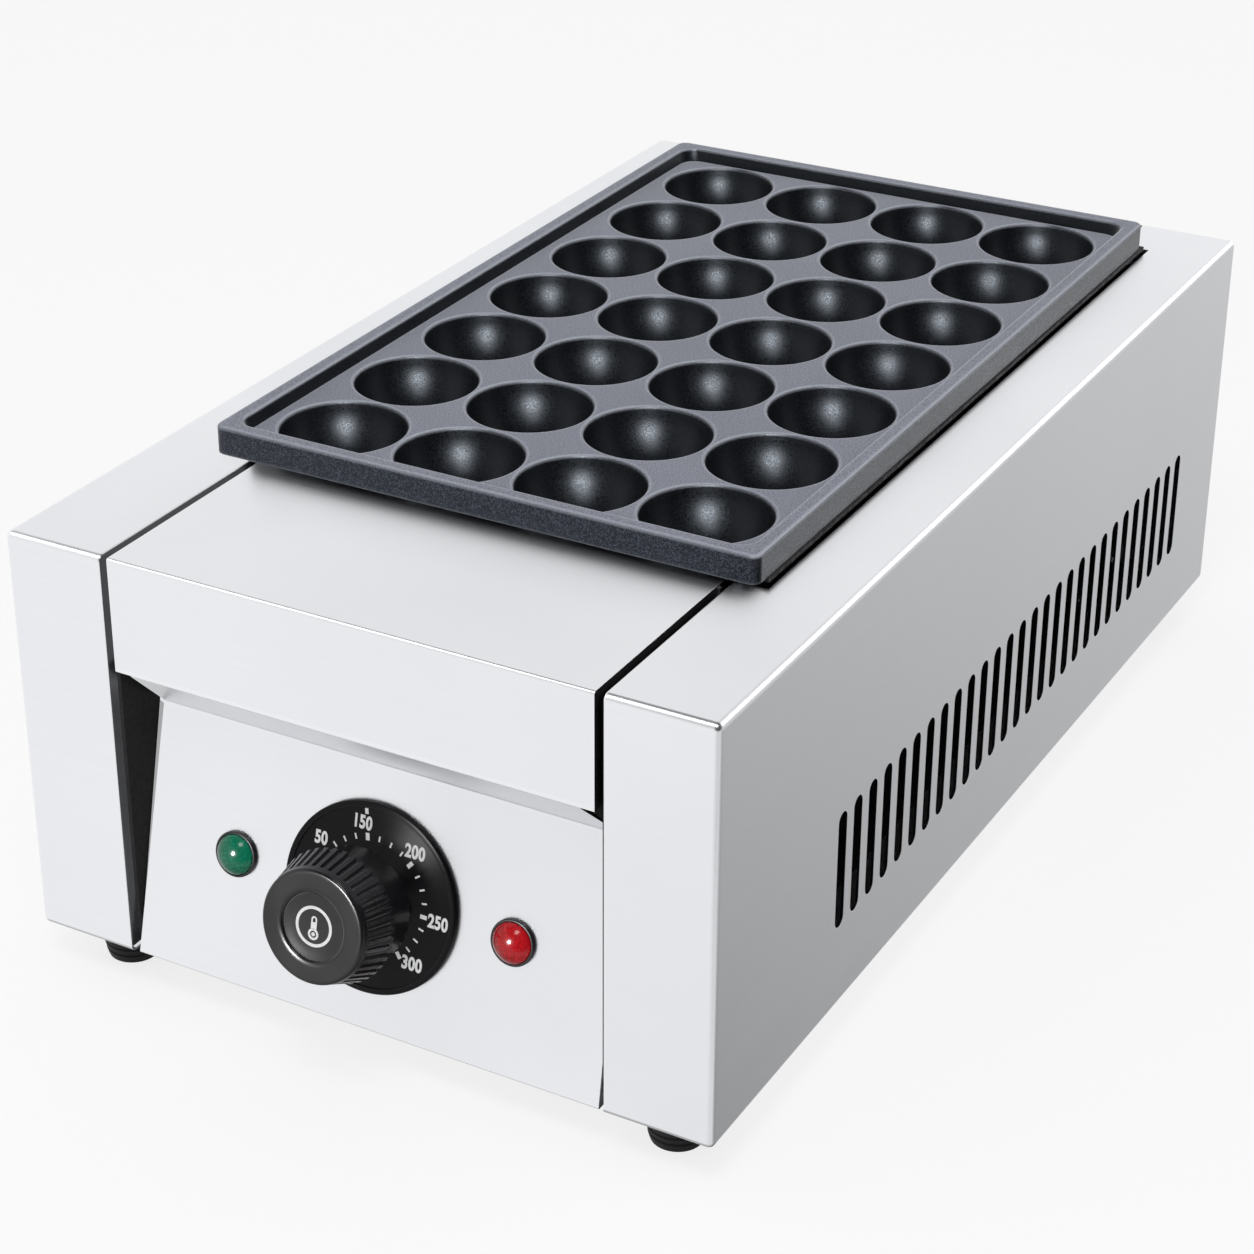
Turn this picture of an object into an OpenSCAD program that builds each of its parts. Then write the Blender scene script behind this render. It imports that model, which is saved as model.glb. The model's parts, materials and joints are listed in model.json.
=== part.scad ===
// Countertop takoyaki maker: a cast plate of round cups over an electric
// heating tube, in a folded stainless case with a tilted control panel.
// Millimetres, +Z up, -Y towards the cook, origin under the middle of the feet.

/* [Mould plate] */
// Cup columns across the plate (the heating tube needs an even number)
cup_cols = 4; // [2:2:6]
// Cup rows from front to rear
cup_rows = 7; // [4:1:9]
// Distance between neighbouring cups
cup_pitch = 41; // [40:0.5:46]
// Radius of a cup's mouth
cup_r = 19.5; // [17:0.25:19.75]
// Depth of a cup below the floor of the plate
cup_depth = 17; // [13:0.5:18.5]
// Cast wall around a cup
cup_wall = 2.5; // [1.5:0.25:3]
// Casting outside the cups' mouths, left and right
plate_margin_x = 9.5; // [8:0.25:14]
// Casting outside the cups' mouths, front and rear
plate_margin_y = 6.5; // [6:0.25:14]
// Width of the raised rim's top
rim_w = 5; // [3:0.25:5.5]
// Height of the rim above the floor
rim_h = 4.5; // [3:0.25:8]
// Thickness of the plate below the floor
plate_t = 4.7; // [4:0.1:7]
// Radius of the plate's outer corners
plate_corner_r = 3; // [1:0.5:5]

/* [Case] */
// Height of the case without its feet
case_h = 133; // [128:1:160]
// Thickness of the stainless sheet
sheet = 0.8; // [0.7:0.1:1.2]
// Outside radius of the bends
bend_r = 2; // [1.6:0.1:3]
// Width of the casings' top, front and rear strips
strip_w = 34; // [30:1:44]
// How far the plate's edge reaches over each seam of the case
plate_overhang = 9.5; // [9:0.25:12]
// Distance from the case's front to the plate
plate_setback = 69; // [66:1:90]
// Distance from the plate to the case's rear
rear_strip_d = 29; // [27:1:45]
// Height of the plate's underside above the case's top
plate_lift = 2.3; // [1.8:0.1:5]
// Depth of the folded lips on the strips' inner edges
lip_d = 9; // [6:0.5:10]
// Gap between the centre cover and each casing
seam_gap = 2.5; // [2.3:0.1:3.5]
// Gap between the plate and the edge of the well cut in the casings
well_gap = 1.2; // [1:0.1:3]

/* [Ventilation] */
// Distance between neighbouring slots of a side wall
slot_pitch = 10.2; // [8:0.1:14]
// Width of a slot
slot_w = 5.6; // [3:0.2:6]
// Length of a slot
slot_len = 38.5; // [20:0.5:60]
// Distance from the case's front to the first slot
slot_start = 78; // [60:1:90]
// Least distance from the last slot to the case's rear
slot_end = 42; // [20:1:60]
// Height of the slots' lower ends above the case's bottom
slot_low = 28; // [18:1:50]

/* [Control panel] */
// Height of the centre cover's front face
fascia_h = 36; // [28:1:40]
// Height of the tilted panel's top edge above the case's bottom
panel_h = 79; // [74:1:85]
// How far the panel's top edge lies behind the case's front
panel_recess = 19; // [10:1:24]
// How far the panel's bottom edge lies behind the case's front
panel_foot = 1; // [1:0.5:5]
// Distance of the controls up the panel
control_up = 41; // [38:0.5:42]
// Distance of each lamp from the middle of the panel
lamp_x = 47; // [42:0.5:60]
// Radius of a lamp's lens
lens_r = 6.25; // [5:0.25:9]
// Height of a lens above the panel
lens_h = 4.8; // [3.5:0.1:7]

/* [Knob] */
// Radius of the dial
dial_r = 28.8; // [26:0.1:32]
// Thickness of the dial's face
dial_t = 1.3; // [1:0.1:2]
// Radius of the knob's smooth hub
hub_r = 17.2; // [15:0.1:18]
// Length of the knob's ribbed grip, up to its face
grip_len = 12; // [9:0.5:15]
// Radius of the grip beside the hub
grip_r_low = 19.8; // [18.5:0.1:21]
// Radius of the grip beside the face
grip_r_high = 16.9; // [16:0.1:18]
// Height of the knob's face above the panel
knob_h = 31; // [27:0.5:34]
// Grooves around the grip
knob_grooves = 40; // [24:1:44]
// Radius of the thermostat's spindle
spindle_r = 3; // [2.5:0.1:3.5]

/* [Heating] */
// Radius of the heating tube
tube_r = 3.25; // [2.5:0.05:4]
// Gap between the cups' undersides and the tube
tube_gap = 4.8; // [3.6:0.2:8]
// Height of the heating tube's middle above the reflector
tube_stand = 16; // [12:0.5:22]
// Thickness of the insulation board
board_t = 12; // [8:1:16]

/* [Feet] */
// Height of a foot
foot_h = 14; // [8:1:25]
// Radius of a foot at the case
foot_r_top = 10.5; // [9:0.25:12]
// Radius of a foot at the table
foot_r_low = 8; // [7:0.25:9]
// Distance of a foot from the nearer end of the case
foot_inset = 18; // [16:1:40]

/* [Cable entry] */
// Radius of the hole for the supply cable
cable_r = 4.2; // [3:0.1:5]
// How far the cable gland stands out behind the case
gland_out = 21; // [18:1:26]

/* [Hidden] */
$fn = 64;

// Clearances and details
rest_gap = 0.3; // between neighbouring pieces that don't touch
screw_gap = 0.1; // around a screw in its hole
run_gap = 0.05; // around a shaft that turns
glue_gap = 0.02; // between the dial and the panel
arc_steps = 4; // flats on a sheet bend
slot_steps = 8; // flats on a slot's round end

// Mould plate and its cups
plate_w = (cup_cols - 1) * cup_pitch + 2 * (cup_r + plate_margin_x);
plate_d = (cup_rows - 1) * cup_pitch + 2 * (cup_r + plate_margin_y);
cup_ball_r = (cup_r * cup_r + cup_depth * cup_depth) / (2 * cup_depth);
cup_ball_up = cup_ball_r - cup_depth;
boss_r = cup_ball_r + cup_wall;
recess_corner_r = 6;
lug_w = 3;
lug_len = 6;
lug_h = 6;

// Case
seam_x = plate_w / 2 - plate_overhang;
half_w = seam_x + strip_w;
case_d = plate_setback + plate_d + rear_strip_d;
front_y = -case_d / 2;
rear_y = case_d / 2;
base_z = foot_h;
top_z = base_z + case_h;
pan_z = base_z + sheet;
pan_top = pan_z + sheet;
pan_front = front_y + sheet + lip_d + rest_gap;
pan_rear = rear_y - sheet - lip_d - rest_gap;
pan_x = half_w - bend_r;
pan_lip = 12;
flange = 10;
plate_front = front_y + plate_setback;
plate_rear = plate_front + plate_d;
plate_mid = (plate_front + plate_rear) / 2;
plate_z = top_z + plate_lift;
floor_z = plate_z + plate_t;
well_x = plate_w / 2 + well_gap;
well_front = plate_front + 4.8;
well_rear = plate_rear + 4.5;
cover_x = seam_x - seam_gap;
cover_rear = plate_front + 4.5;
slot_count = floor((case_d - slot_start - slot_end) / slot_pitch) + 1;
function cup_x(i) = (i - (cup_cols - 1) / 2) * cup_pitch;
function cup_y(j) = plate_mid + (j - (cup_rows - 1) / 2) * cup_pitch;

// Frame inside the case: two side plates that carry the mould plate, and two
// bulkheads that close the heated well
frame_t = 1.2;
frame_out = seam_x - 0.5;
frame_in = frame_out - frame_t;
rest_in = (cup_cols - 1) * cup_pitch / 2 + boss_r + 1;
rest_out = rest_in + frame_t;
rest_edge = plate_w / 2 + 0.5;
frame_foot = 9;
frame_front = front_y + 3;
frame_top = top_z - 3;
rest_front = well_front + 1.5;
rest_rear = plate_rear + 1;
step_z = plate_z - 26;
bulkhead_front = cover_rear - 4.5;
bulkhead_rear = rest_rear - frame_t;
wire_hole_w = 50;
wire_hole_h = 12;

// Heating, from the cups' undersides down
cup_low = floor_z - cup_depth - cup_wall;
tube_z = cup_low - tube_gap - tube_r;
reflector_t = 0.8;
reflector_z = tube_z - tube_stand;
board_z = reflector_z - board_t;
tray_z = board_z - sheet;
tray_lip = board_t + 7;
reflector_lip = 8;
bend_centre_front = plate_front + 36;
bend_centre_rear = plate_rear - 37;
tube_front = bulkhead_front - 12;
fitting_r = 6;
fitting_hex_r = 8.5;
fitting_hex_h = 4;
bracket_t = 1.5;
comb_over = 9;
bracket_ys = [plate_front + 60, plate_mid, plate_rear - 60];
stud_r = 1.6;
stud_len = 10;

// Thermostat, its bulb between the middle legs of the tube
tilt = atan((panel_recess - panel_foot) / panel_h);
bush_r = 5;
bush_out = 2.6;
body_w = 36;
body_h = 44;
body_d = 28;
body_plate_t = 2;
tab_len = 7;
tab_up = 10;
thermostat_screw_x = 10.5;
thermostat_screw_r = 1.95;
bulb_r = 3;
bulb_len = 80;
bulb_front = plate_mid - 70;
bulb_z = tube_z + bulb_r;
bulb_clip_ys = [bulb_front + 15, bulb_front + 60];
clip_len = 8;
clip_foot = 8;
capillary_r = 0.9;
capillary_dip = 24;
capillary_z = cup_low - 1.9;
grommet_r = 4;

// Front
fascia_z = top_z - fascia_h;
panel_x = cover_x + 0.5;
fascia_return = 8;
bezel_w = 1.8;
bezel_t = 1.9;
knob_low = 3.2;
hub_flare = 4;
hub_waist = 2.8;
face_chamfer = 1.2;
cap_r = 10;
cap_sink = 0.7;
groove_r = 1;
groove_in = 0.2;
lamp_body_r = lens_r - 1;
lamp_bezel_r = lens_r + 0.75;
lamp_bezel_t = 2;
lamp_seat = 0.6;
lamp_body_len = 24;
lamp_tab_len = 8;

// Screws, feet and cable entry
small_r = 1.95;
small_head_r = 3.6;
small_head_h = 2.2;
rear_screw_x = frame_in - 6;
rear_screw_zs = [base_z + 30, top_z - 30];
panel_screw_x = cover_x - 22;
panel_screw_y = pan_front + 4.5;
frame_screw_x = frame_out + frame_foot / 2 + 0.5;
frame_screw_ys = [plate_front + 20, plate_rear - 20];
cover_screw_z = top_z - lip_d - 7;
cover_screw_ys = [front_y + 24, front_y + 52];
tray_screw_z = tray_z + 6;
tray_screw_ys = [plate_front + 45, plate_rear - 45];
foot_x = seam_x + foot_r_top + 3.5;
foot_y = rear_y - foot_inset;
foot_bore_r = 2.6;
foot_screw_r = 2.5;
foot_head_r = 4.4;
foot_recess_r = 4.8;
foot_recess_h = foot_h * 0.4;
foot_nut_r = 4.6;
foot_nut_h = 4;
earth_x = -45;
earth_washer_r = 4;
gland_x = 52;
gland_z = base_z + 30;
gland_r = 8;
gland_nut_r = 11;
gland_hex_h = 5;
gland_cap_h = 12;
block_w = 36;
block_d = 14;
block_h = 16;
wire_r = 1.2;
wire_xs = [-10, 0, 10];

// Colours
steel = [0.86, 0.87, 0.89];
zinc = [0.66, 0.68, 0.7];
dark_steel = [0.2, 0.2, 0.21];
coating = [0.19, 0.2, 0.22];
black = [0.08, 0.08, 0.09];
brass = [0.78, 0.65, 0.35];

// ---------------------------------------------------------------- helpers

function unit(v) = v / norm(v);
function left_of(v) = [-v[1], v[0]];

// Points of an arc about a centre
function arc(centre, r, from, to, steps) = [
    for (i = [0 : steps])
        let (a = from + (to - from) * i / steps)
        centre + r * [cos(a), sin(a)]
];

// Rectangle from the origin with four corner radii, from the lower left one
// round to the upper left one
function round_rect(w, h, r) = concat(
    arc([r[0], r[0]], r[0], 180, 270, arc_steps),
    arc([w - r[1], r[1]], r[1], 270, 360, arc_steps),
    arc([w - r[2], h - r[2]], r[2], 0, 90, arc_steps),
    arc([r[3], h - r[3]], r[3], 90, 180, arc_steps)
);

// A path's copy at distance t on its left, with mitred corners
function offset_path(path, t) = [
    for (i = [0 : len(path) - 1])
        let (
            last = len(path) - 1,
            a = i == 0 ? unit(path[1] - path[0]) : unit(path[i] - path[i - 1]),
            b = i == last ? a : unit(path[i + 1] - path[i]),
            m = unit(left_of(a) + left_of(b))
        )
        path[i] + m * t / (m * left_of(a))
];

// Outline of a sheet of thickness t folded along a path
function sheet_outline(path, t) =
    let (inner = offset_path(path, t))
    concat(path, [for (i = [len(path) - 1 : -1 : 0]) inner[i]]);

// A folded sheet whose path is drawn in Y and Z, reaching half_x to each side
module folded_across(path, t, half_x) {
    rotate([90, 0, 90])
        translate([0, 0, -half_x])
            linear_extrude(2 * half_x)
                polygon(sheet_outline(path, t));
}

// A folded sheet whose path is drawn in X and Z, from y0 to y1
module folded_along(path, t, y0, y1) {
    translate([0, y1, 0])
        rotate([90, 0, 0])
            linear_extrude(y1 - y0)
                polygon(sheet_outline(path, t));
}

// A box between two corners
module block(a, b) {
    translate(a)
        cube(b - a);
}

// A box open at the top, with walls and floor of thickness t
module open_box(a, b, t) {
    difference() {
        block(a, b);
        block(a + [t, t, t], b + [-t, -t, 1]);
    }
}

// A cylinder from a point, along Z turned by rot
module rod(p, rot, r, h) {
    translate(p)
        rotate(rot)
            cylinder(r = r, h = h);
}

// A ring from the origin up
module ring(r_out, r_in, h) {
    difference() {
        cylinder(r = r_out, h = h);
        translate([0, 0, -1])
            cylinder(r = r_in, h = h + 2);
    }
}

// The panel's own axes: X right, Y up the slope, Z out of its face
module on_panel(x = 0, up = control_up) {
    translate([0, front_y + panel_foot, base_z])
        rotate([90 - tilt, 0, 0])
            translate([x, up, 0])
                children();
}

// A point given in the panel's axes
function panel_point(x, up, out) = [
    x,
    front_y + panel_foot + up * sin(tilt) - out * cos(tilt),
    base_z + up * cos(tilt) + out * sin(tilt)
];

// A screw whose domed head stands on the origin
module pan_screw(r, len, head_r, head_h) {
    rotate_extrude()
        polygon([
            [0, -len], [r, -len], [r, 0], [head_r, 0],
            [head_r, head_h * 0.4], [head_r * 0.6, head_h], [0, head_h]
        ]);
}

module small_screw(len) {
    pan_screw(small_r, len, small_head_r, small_head_h);
}

// A hexagon nut from the origin up
module hex_nut(r, bore_r, h) {
    difference() {
        cylinder(r = r, h = h, $fn = 6);
        translate([0, 0, -1])
            cylinder(r = bore_r, h = h + 2);
    }
}

// A wire of six sides along a path of points in space; side is any direction
// that no stretch of the wire follows
module wire(path, r, side = [1, 0, 0]) {
    n = len(path);
    sides = 6;
    rings = [
        for (i = [0 : n - 1])
            let (
                t = unit(path[min(i + 1, n - 1)] - path[max(i - 1, 0)]),
                u = unit(cross(t, side)),
                v = cross(t, u)
            )
            for (k = [0 : sides - 1])
                path[i] + r * (cos(60 * k) * u + sin(60 * k) * v)
    ];
    side_faces = [
        for (i = [0 : n - 2])
            for (k = [0 : sides - 1])
                for (f = [0, 1])
                    let (a = i * sides + k, b = i * sides + (k + 1) % sides)
                    f == 0 ? [a, b + sides, b] : [a, a + sides, b + sides]
    ];
    end_faces = [
        for (k = [1 : sides - 2])
            for (f = [0, 1])
                let (last = (n - 1) * sides)
                f == 0 ? [0, k, k + 1] : [last, last + k + 1, last + k]
    ];
    polyhedron(rings, concat(side_faces, end_faces));
}

// -------------------------------------------------------------- sheet case

// Full block of the right casing, inset by d from its outer faces and reaching
// out past its open side
module casing_block(d, out = 0) {
    r = bend_r - d;
    w = strip_w - d + out;
    depth = case_d - 2 * d;
    h = case_h - 2 * d;
    sharp = 0.01;
    translate([seam_x - out, front_y + d, base_z + d])
        intersection() {
            translate([0, depth, 0])
                rotate([90, 0, 0])
                    linear_extrude(depth)
                        polygon(round_rect(w, h, [sharp, r, r, sharp]));
            linear_extrude(h)
                polygon(round_rect(w, depth, [sharp, r, r, sharp]));
            rotate([90, 0, 90])
                linear_extrude(w)
                    polygon(round_rect(depth, h, [r, r, r, r]));
        }
}

module vent_slot() {
    r = slot_w / 2;
    rotate([90, 0, 90])
        translate([0, 0, -2 * sheet])
            linear_extrude(4 * sheet)
                polygon(concat(
                    arc([0, slot_len - r], r, 0, 180, slot_steps),
                    arc([0, r], r, 180, 360, slot_steps)
                ));
}

module casing() {
    difference() {
        casing_block(0);
        difference() {
            casing_block(sheet, 2);
            // Lips folded back along the strips' inner edges
            block(
                [seam_x, front_y, base_z],
                [seam_x + sheet, front_y + sheet + lip_d, top_z]
            );
            block(
                [seam_x, rear_y - sheet - lip_d, base_z],
                [seam_x + sheet, rear_y, top_z]
            );
            block(
                [seam_x, front_y, top_z - sheet - lip_d],
                [seam_x + sheet, rear_y, top_z]
            );
        }
        // Well for the plate
        block(
            [seam_x - 1, well_front, top_z - sheet - lip_d - 1],
            [well_x, well_rear, top_z + 1]
        );
        // Vents in the outer wall
        for (i = [0 : slot_count - 1])
            translate([half_w, front_y + slot_start + i * slot_pitch, base_z + slot_low])
                vent_slot();
        // Screw holes in the bottom strip
        for (y = [-foot_y, foot_y])
            rod([foot_x, y, base_z - 1], [0, 0, 0], foot_bore_r, 3 * sheet);
        for (y = frame_screw_ys)
            rod([frame_screw_x, y, base_z - 1], [0, 0, 0], small_r + screw_gap, 3 * sheet);
    }
}

module right_casing() {
    color(steel)
        casing();
}

module left_casing() {
    color(steel)
        mirror([1, 0, 0])
            casing();
}

// Floor of the case, on the casings' bottom strips
module base_pan() {
    slot_rows = 3;
    slots = 7;
    color(zinc)
        difference() {
            union() {
                block([-pan_x, pan_front, pan_z], [pan_x, pan_rear, pan_top]);
                block([-pan_x, pan_front, pan_z], [-pan_x + sheet, pan_rear, pan_z + pan_lip]);
                block([pan_x - sheet, pan_front, pan_z], [pan_x, pan_rear, pan_z + pan_lip]);
            }
            // Cooling slots
            for (i = [0 : slot_rows - 1])
                for (j = [0 : slots - 1])
                    translate([(i - 1) * 46, plate_mid + (j - (slots - 1) / 2) * 20, pan_z])
                        block([-15, -slot_w / 2, -1], [15, slot_w / 2, 3 * sheet]);
            // Screw holes
            for (s = [-1, 1]) {
                for (y = [-foot_y, foot_y])
                    rod([s * foot_x, y, base_z], [0, 0, 0], foot_bore_r, 4 * sheet);
                for (y = frame_screw_ys)
                    rod([s * frame_screw_x, y, base_z], [0, 0, 0], small_r + screw_gap, 4 * sheet);
                for (y = [panel_screw_y, -panel_screw_y])
                    rod([s * panel_screw_x, y, base_z], [0, 0, 0], small_r + screw_gap, 4 * sheet);
            }
        }
}

// Top and front face between the casings
module centre_cover() {
    color(steel)
        difference() {
            union() {
                folded_across(
                    [
                        [cover_rear, top_z], [front_y, top_z],
                        [front_y, fascia_z], [front_y + fascia_return, fascia_z]
                    ],
                    sheet,
                    cover_x
                );
                for (s = [-1, 1])
                    translate([s * (cover_x - sheet / 2), 0, 0])
                        block(
                            [-sheet / 2, front_y, fascia_z],
                            [sheet / 2, bulkhead_front - rest_gap, top_z]
                        );
            }
            for (s = [-1, 1])
                for (y = cover_screw_ys)
                    rod([s * (cover_x + 1), y, cover_screw_z], [0, -90 * s, 0], small_r + screw_gap, 4);
        }
}

// Rear face, with the strip of top behind the plate
module rear_cover() {
    color(steel)
        difference() {
            folded_across(
                [
                    [pan_rear - flange, base_z], [rear_y, base_z], [rear_y, top_z],
                    [well_rear, top_z], [well_rear, top_z - lip_d]
                ],
                sheet,
                seam_x - rest_gap
            );
            for (s = [-1, 1]) {
                for (z = rear_screw_zs)
                    rod([s * rear_screw_x, rear_y + 1, z], [90, 0, 0], small_r + screw_gap, 3);
                rod([s * panel_screw_x, -panel_screw_y, base_z - 1], [0, 0, 0], small_r + screw_gap, 3);
            }
            rod([gland_x, rear_y + 1, gland_z], [90, 0, 0], gland_r + screw_gap, 3);
        }
}

// Tilted panel for the controls, with the slanted face above it
module control_panel() {
    slant = unit([panel_recess, base_z + panel_h - fascia_z]);
    color(steel)
        difference() {
            folded_across(
                [
                    [front_y, fascia_z] + slant * sheet * 1.1,
                    [front_y + panel_recess, base_z + panel_h],
                    [front_y + panel_foot, base_z],
                    [pan_front + flange, base_z]
                ],
                sheet,
                panel_x
            );
            on_panel()
                translate([0, 0, -3])
                    cylinder(r = bush_r + screw_gap, h = 4);
            for (s = [-1, 1]) {
                on_panel(s * lamp_x)
                    translate([0, 0, -3])
                        cylinder(r = lamp_body_r + screw_gap, h = 4);
                on_panel(s * thermostat_screw_x)
                    translate([0, 0, -3])
                        cylinder(r = thermostat_screw_r + screw_gap, h = 4);
                rod([s * panel_screw_x, panel_screw_y, base_z - 1], [0, 0, 0], small_r + screw_gap, 3);
            }
        }
}

// Side plate: a web, a foot on the pan, a shelf under the mould plate's edge
// and a tab for the rear cover
module frame_plate() {
    foot_end = frame_out + frame_foot;
    difference() {
        union() {
            folded_along(
                [
                    [foot_end, pan_top + frame_t], [frame_out, pan_top + frame_t],
                    [frame_out, frame_top]
                ],
                frame_t,
                pan_front + 1,
                rest_front
            );
            block([frame_in, frame_front, pan_top + flange], [frame_out, pan_front + 2, frame_top]);
            folded_along(
                [
                    [foot_end, pan_top + frame_t], [frame_out, pan_top + frame_t],
                    [frame_out, step_z], [rest_out, step_z],
                    [rest_out, plate_z - frame_t], [rest_edge, plate_z - frame_t]
                ],
                frame_t,
                rest_front,
                rest_rear
            );
            folded_along(
                [
                    [foot_end, pan_top + frame_t], [frame_out, pan_top + frame_t],
                    [frame_out, top_z - lip_d - sheet]
                ],
                frame_t,
                rest_rear,
                pan_rear
            );
            block(
                [frame_in, pan_rear - 1, pan_top + flange],
                [frame_out, rear_y - sheet, top_z - lip_d - flange]
            );
            block(
                [frame_in - flange, rear_y - sheet - frame_t, pan_top + flange],
                [frame_out, rear_y - sheet, top_z - lip_d - flange]
            );
        }
        for (y = frame_screw_ys)
            rod([frame_screw_x, y, pan_top - 1], [0, 0, 0], small_r + screw_gap, 4);
        for (y = cover_screw_ys)
            rod([frame_out + 1, y, cover_screw_z], [0, -90, 0], small_r + screw_gap, 4);
        for (y = tray_screw_ys)
            rod([frame_out + 1, y, tray_screw_z], [0, -90, 0], small_r + screw_gap, 4);
        for (z = rear_screw_zs)
            rod([rear_screw_x, rear_y, z], [90, 0, 0], small_r + screw_gap, 4);
    }
}

module right_frame_plate() {
    color(dark_steel)
        frame_plate();
}

module left_frame_plate() {
    color(dark_steel)
        mirror([1, 0, 0])
            frame_plate();
}

// Cross wall from y on, with feet on the pan and a window for the wires
module bulkhead(y, top_path) {
    difference() {
        folded_across(
            concat([[y - flange, pan_top], [y + frame_t, pan_top]], top_path),
            frame_t,
            frame_in
        );
        block(
            [-wire_hole_w / 2, y - 1, pan_top + 3],
            [wire_hole_w / 2, y + frame_t + 1, pan_top + 3 + wire_hole_h]
        );
    }
}

module front_bulkhead() {
    y = bulkhead_front;
    color(zinc)
        difference() {
            bulkhead(y, [[y + frame_t, top_z - sheet], [y - flange, top_z - sheet]]);
            for (i = [0, cup_cols - 1])
                rod([cup_x(i), y + 3, tube_z], [90, 0, 0], fitting_r + screw_gap, 6);
            rod([0, y + 3, capillary_z], [90, 0, 0], grommet_r, 6);
            // The top flange lies between the cover's side flanges
            for (s = [-1, 1])
                translate([s * cover_x, 0, 0])
                    block(
                        [-sheet - 1, y - flange - 1, top_z - 2 * sheet - frame_t],
                        [sheet + 1, y, top_z]
                    );
        }
}

module rear_bulkhead() {
    y = bulkhead_rear;
    color(zinc)
        bulkhead(y, [[y + frame_t, plate_z - 1]]);
}

// ----------------------------------------------------------------- heating

module insulation_tray() {
    color(zinc)
        difference() {
            open_box(
                [-frame_in, bulkhead_front + frame_t, tray_z],
                [frame_in, bulkhead_rear, tray_z + tray_lip],
                sheet
            );
            for (s = [-1, 1])
                for (y = tray_screw_ys)
                    rod([s * (frame_in + 1), y, tray_screw_z], [0, -90 * s, 0], small_r + screw_gap, 3);
        }
}

module insulation_board() {
    x = frame_in - sheet - 4;
    color("wheat")
        block(
            [-x, bulkhead_front + frame_t + sheet + rest_gap, board_z],
            [x, bulkhead_rear - sheet - rest_gap, reflector_z]
        );
}

module reflector() {
    x = frame_in - sheet - rest_gap;
    color([0.8, 0.81, 0.83])
        open_box(
            [-x, bulkhead_front + frame_t + sheet + rest_gap, reflector_z],
            [x, bulkhead_rear - sheet - rest_gap, reflector_z + reflector_lip],
            reflector_t
        );
}

// Combs that hold the legs of the heating tube
module element_brackets() {
    half = cup_x(cup_cols - 1) + comb_over;
    z = reflector_z + reflector_t;
    color(zinc)
        for (y = bracket_ys)
            difference() {
                union() {
                    block([-half, y, z], [half, y + bracket_t, tube_z - 1]);
                    block([-half, y, z], [half, y + flange, z + bracket_t]);
                }
                for (i = [0 : cup_cols - 1])
                    rod([cup_x(i), y + bracket_t + 1, tube_z], [90, 0, 0], tube_r + screw_gap, bracket_t + 2);
            }
}

// Half turn of the heating tube between two legs
module tube_bend(x, y, start) {
    translate([x, y, tube_z])
        rotate([0, 0, start])
            rotate_extrude(angle = 180)
                translate([cup_pitch / 2, 0])
                    circle(r = tube_r);
}

module heating_element() {
    last = cup_cols - 1;
    color([0.3, 0.29, 0.28])
        union() {
            for (i = [0 : last])
                let (y0 = i == 0 || i == last ? tube_front : bend_centre_front)
                rod([cup_x(i), y0, tube_z], [-90, 0, 0], tube_r, bend_centre_rear - y0);
            for (i = [0 : 2 : last - 1])
                tube_bend((cup_x(i) + cup_x(i + 1)) / 2, bend_centre_rear, 0);
            if (cup_cols > 2)
                for (i = [1 : 2 : last - 2])
                    tube_bend((cup_x(i) + cup_x(i + 1)) / 2, bend_centre_front, 180);
        }
}

// Screwed sleeves that clamp the tube's ends in the bulkhead
module element_fittings() {
    color(brass)
        for (i = [0, cup_cols - 1])
            translate([cup_x(i), bulkhead_front, tube_z])
                rotate([-90, 0, 0]) {
                    difference() {
                        union() {
                            translate([0, 0, -fitting_hex_h - 1])
                                cylinder(r = fitting_r, h = fitting_hex_h + frame_t + 2);
                            translate([0, 0, frame_t])
                                cylinder(r = fitting_hex_r, h = fitting_hex_h, $fn = 6);
                        }
                        translate([0, 0, -fitting_hex_h - 2])
                            cylinder(r = tube_r + run_gap, h = 3 * fitting_hex_h);
                    }
                    translate([0, 0, -fitting_hex_h])
                        hex_nut(fitting_hex_r, fitting_r + run_gap, fitting_hex_h);
                }
}

module element_terminals() {
    color(brass)
        for (i = [0, cup_cols - 1])
            translate([cup_x(i), tube_front, tube_z])
                rotate([90, 0, 0]) {
                    cylinder(r = stud_r, h = stud_len);
                    translate([0, 0, 3])
                        cylinder(r = 3.4, h = 2.4, $fn = 6);
                }
}

// ---------------------------------------------------------------- controls

module dial_plate() {
    color(black)
        on_panel()
            difference() {
                translate([0, 0, glue_gap])
                    cylinder(r = dial_r - bezel_w, h = dial_t - glue_gap);
                translate([0, 0, -1])
                    cylinder(r = bush_r + screw_gap, h = dial_t + 2);
                for (s = [-1, 1])
                    translate([s * thermostat_screw_x, 0, -1])
                        cylinder(r = thermostat_screw_r + screw_gap, h = dial_t + 2);
            }
}

module dial_bezel() {
    color(black)
        on_panel()
            translate([0, 0, glue_gap])
                ring(dial_r, dial_r - bezel_w, bezel_t);
}

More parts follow.
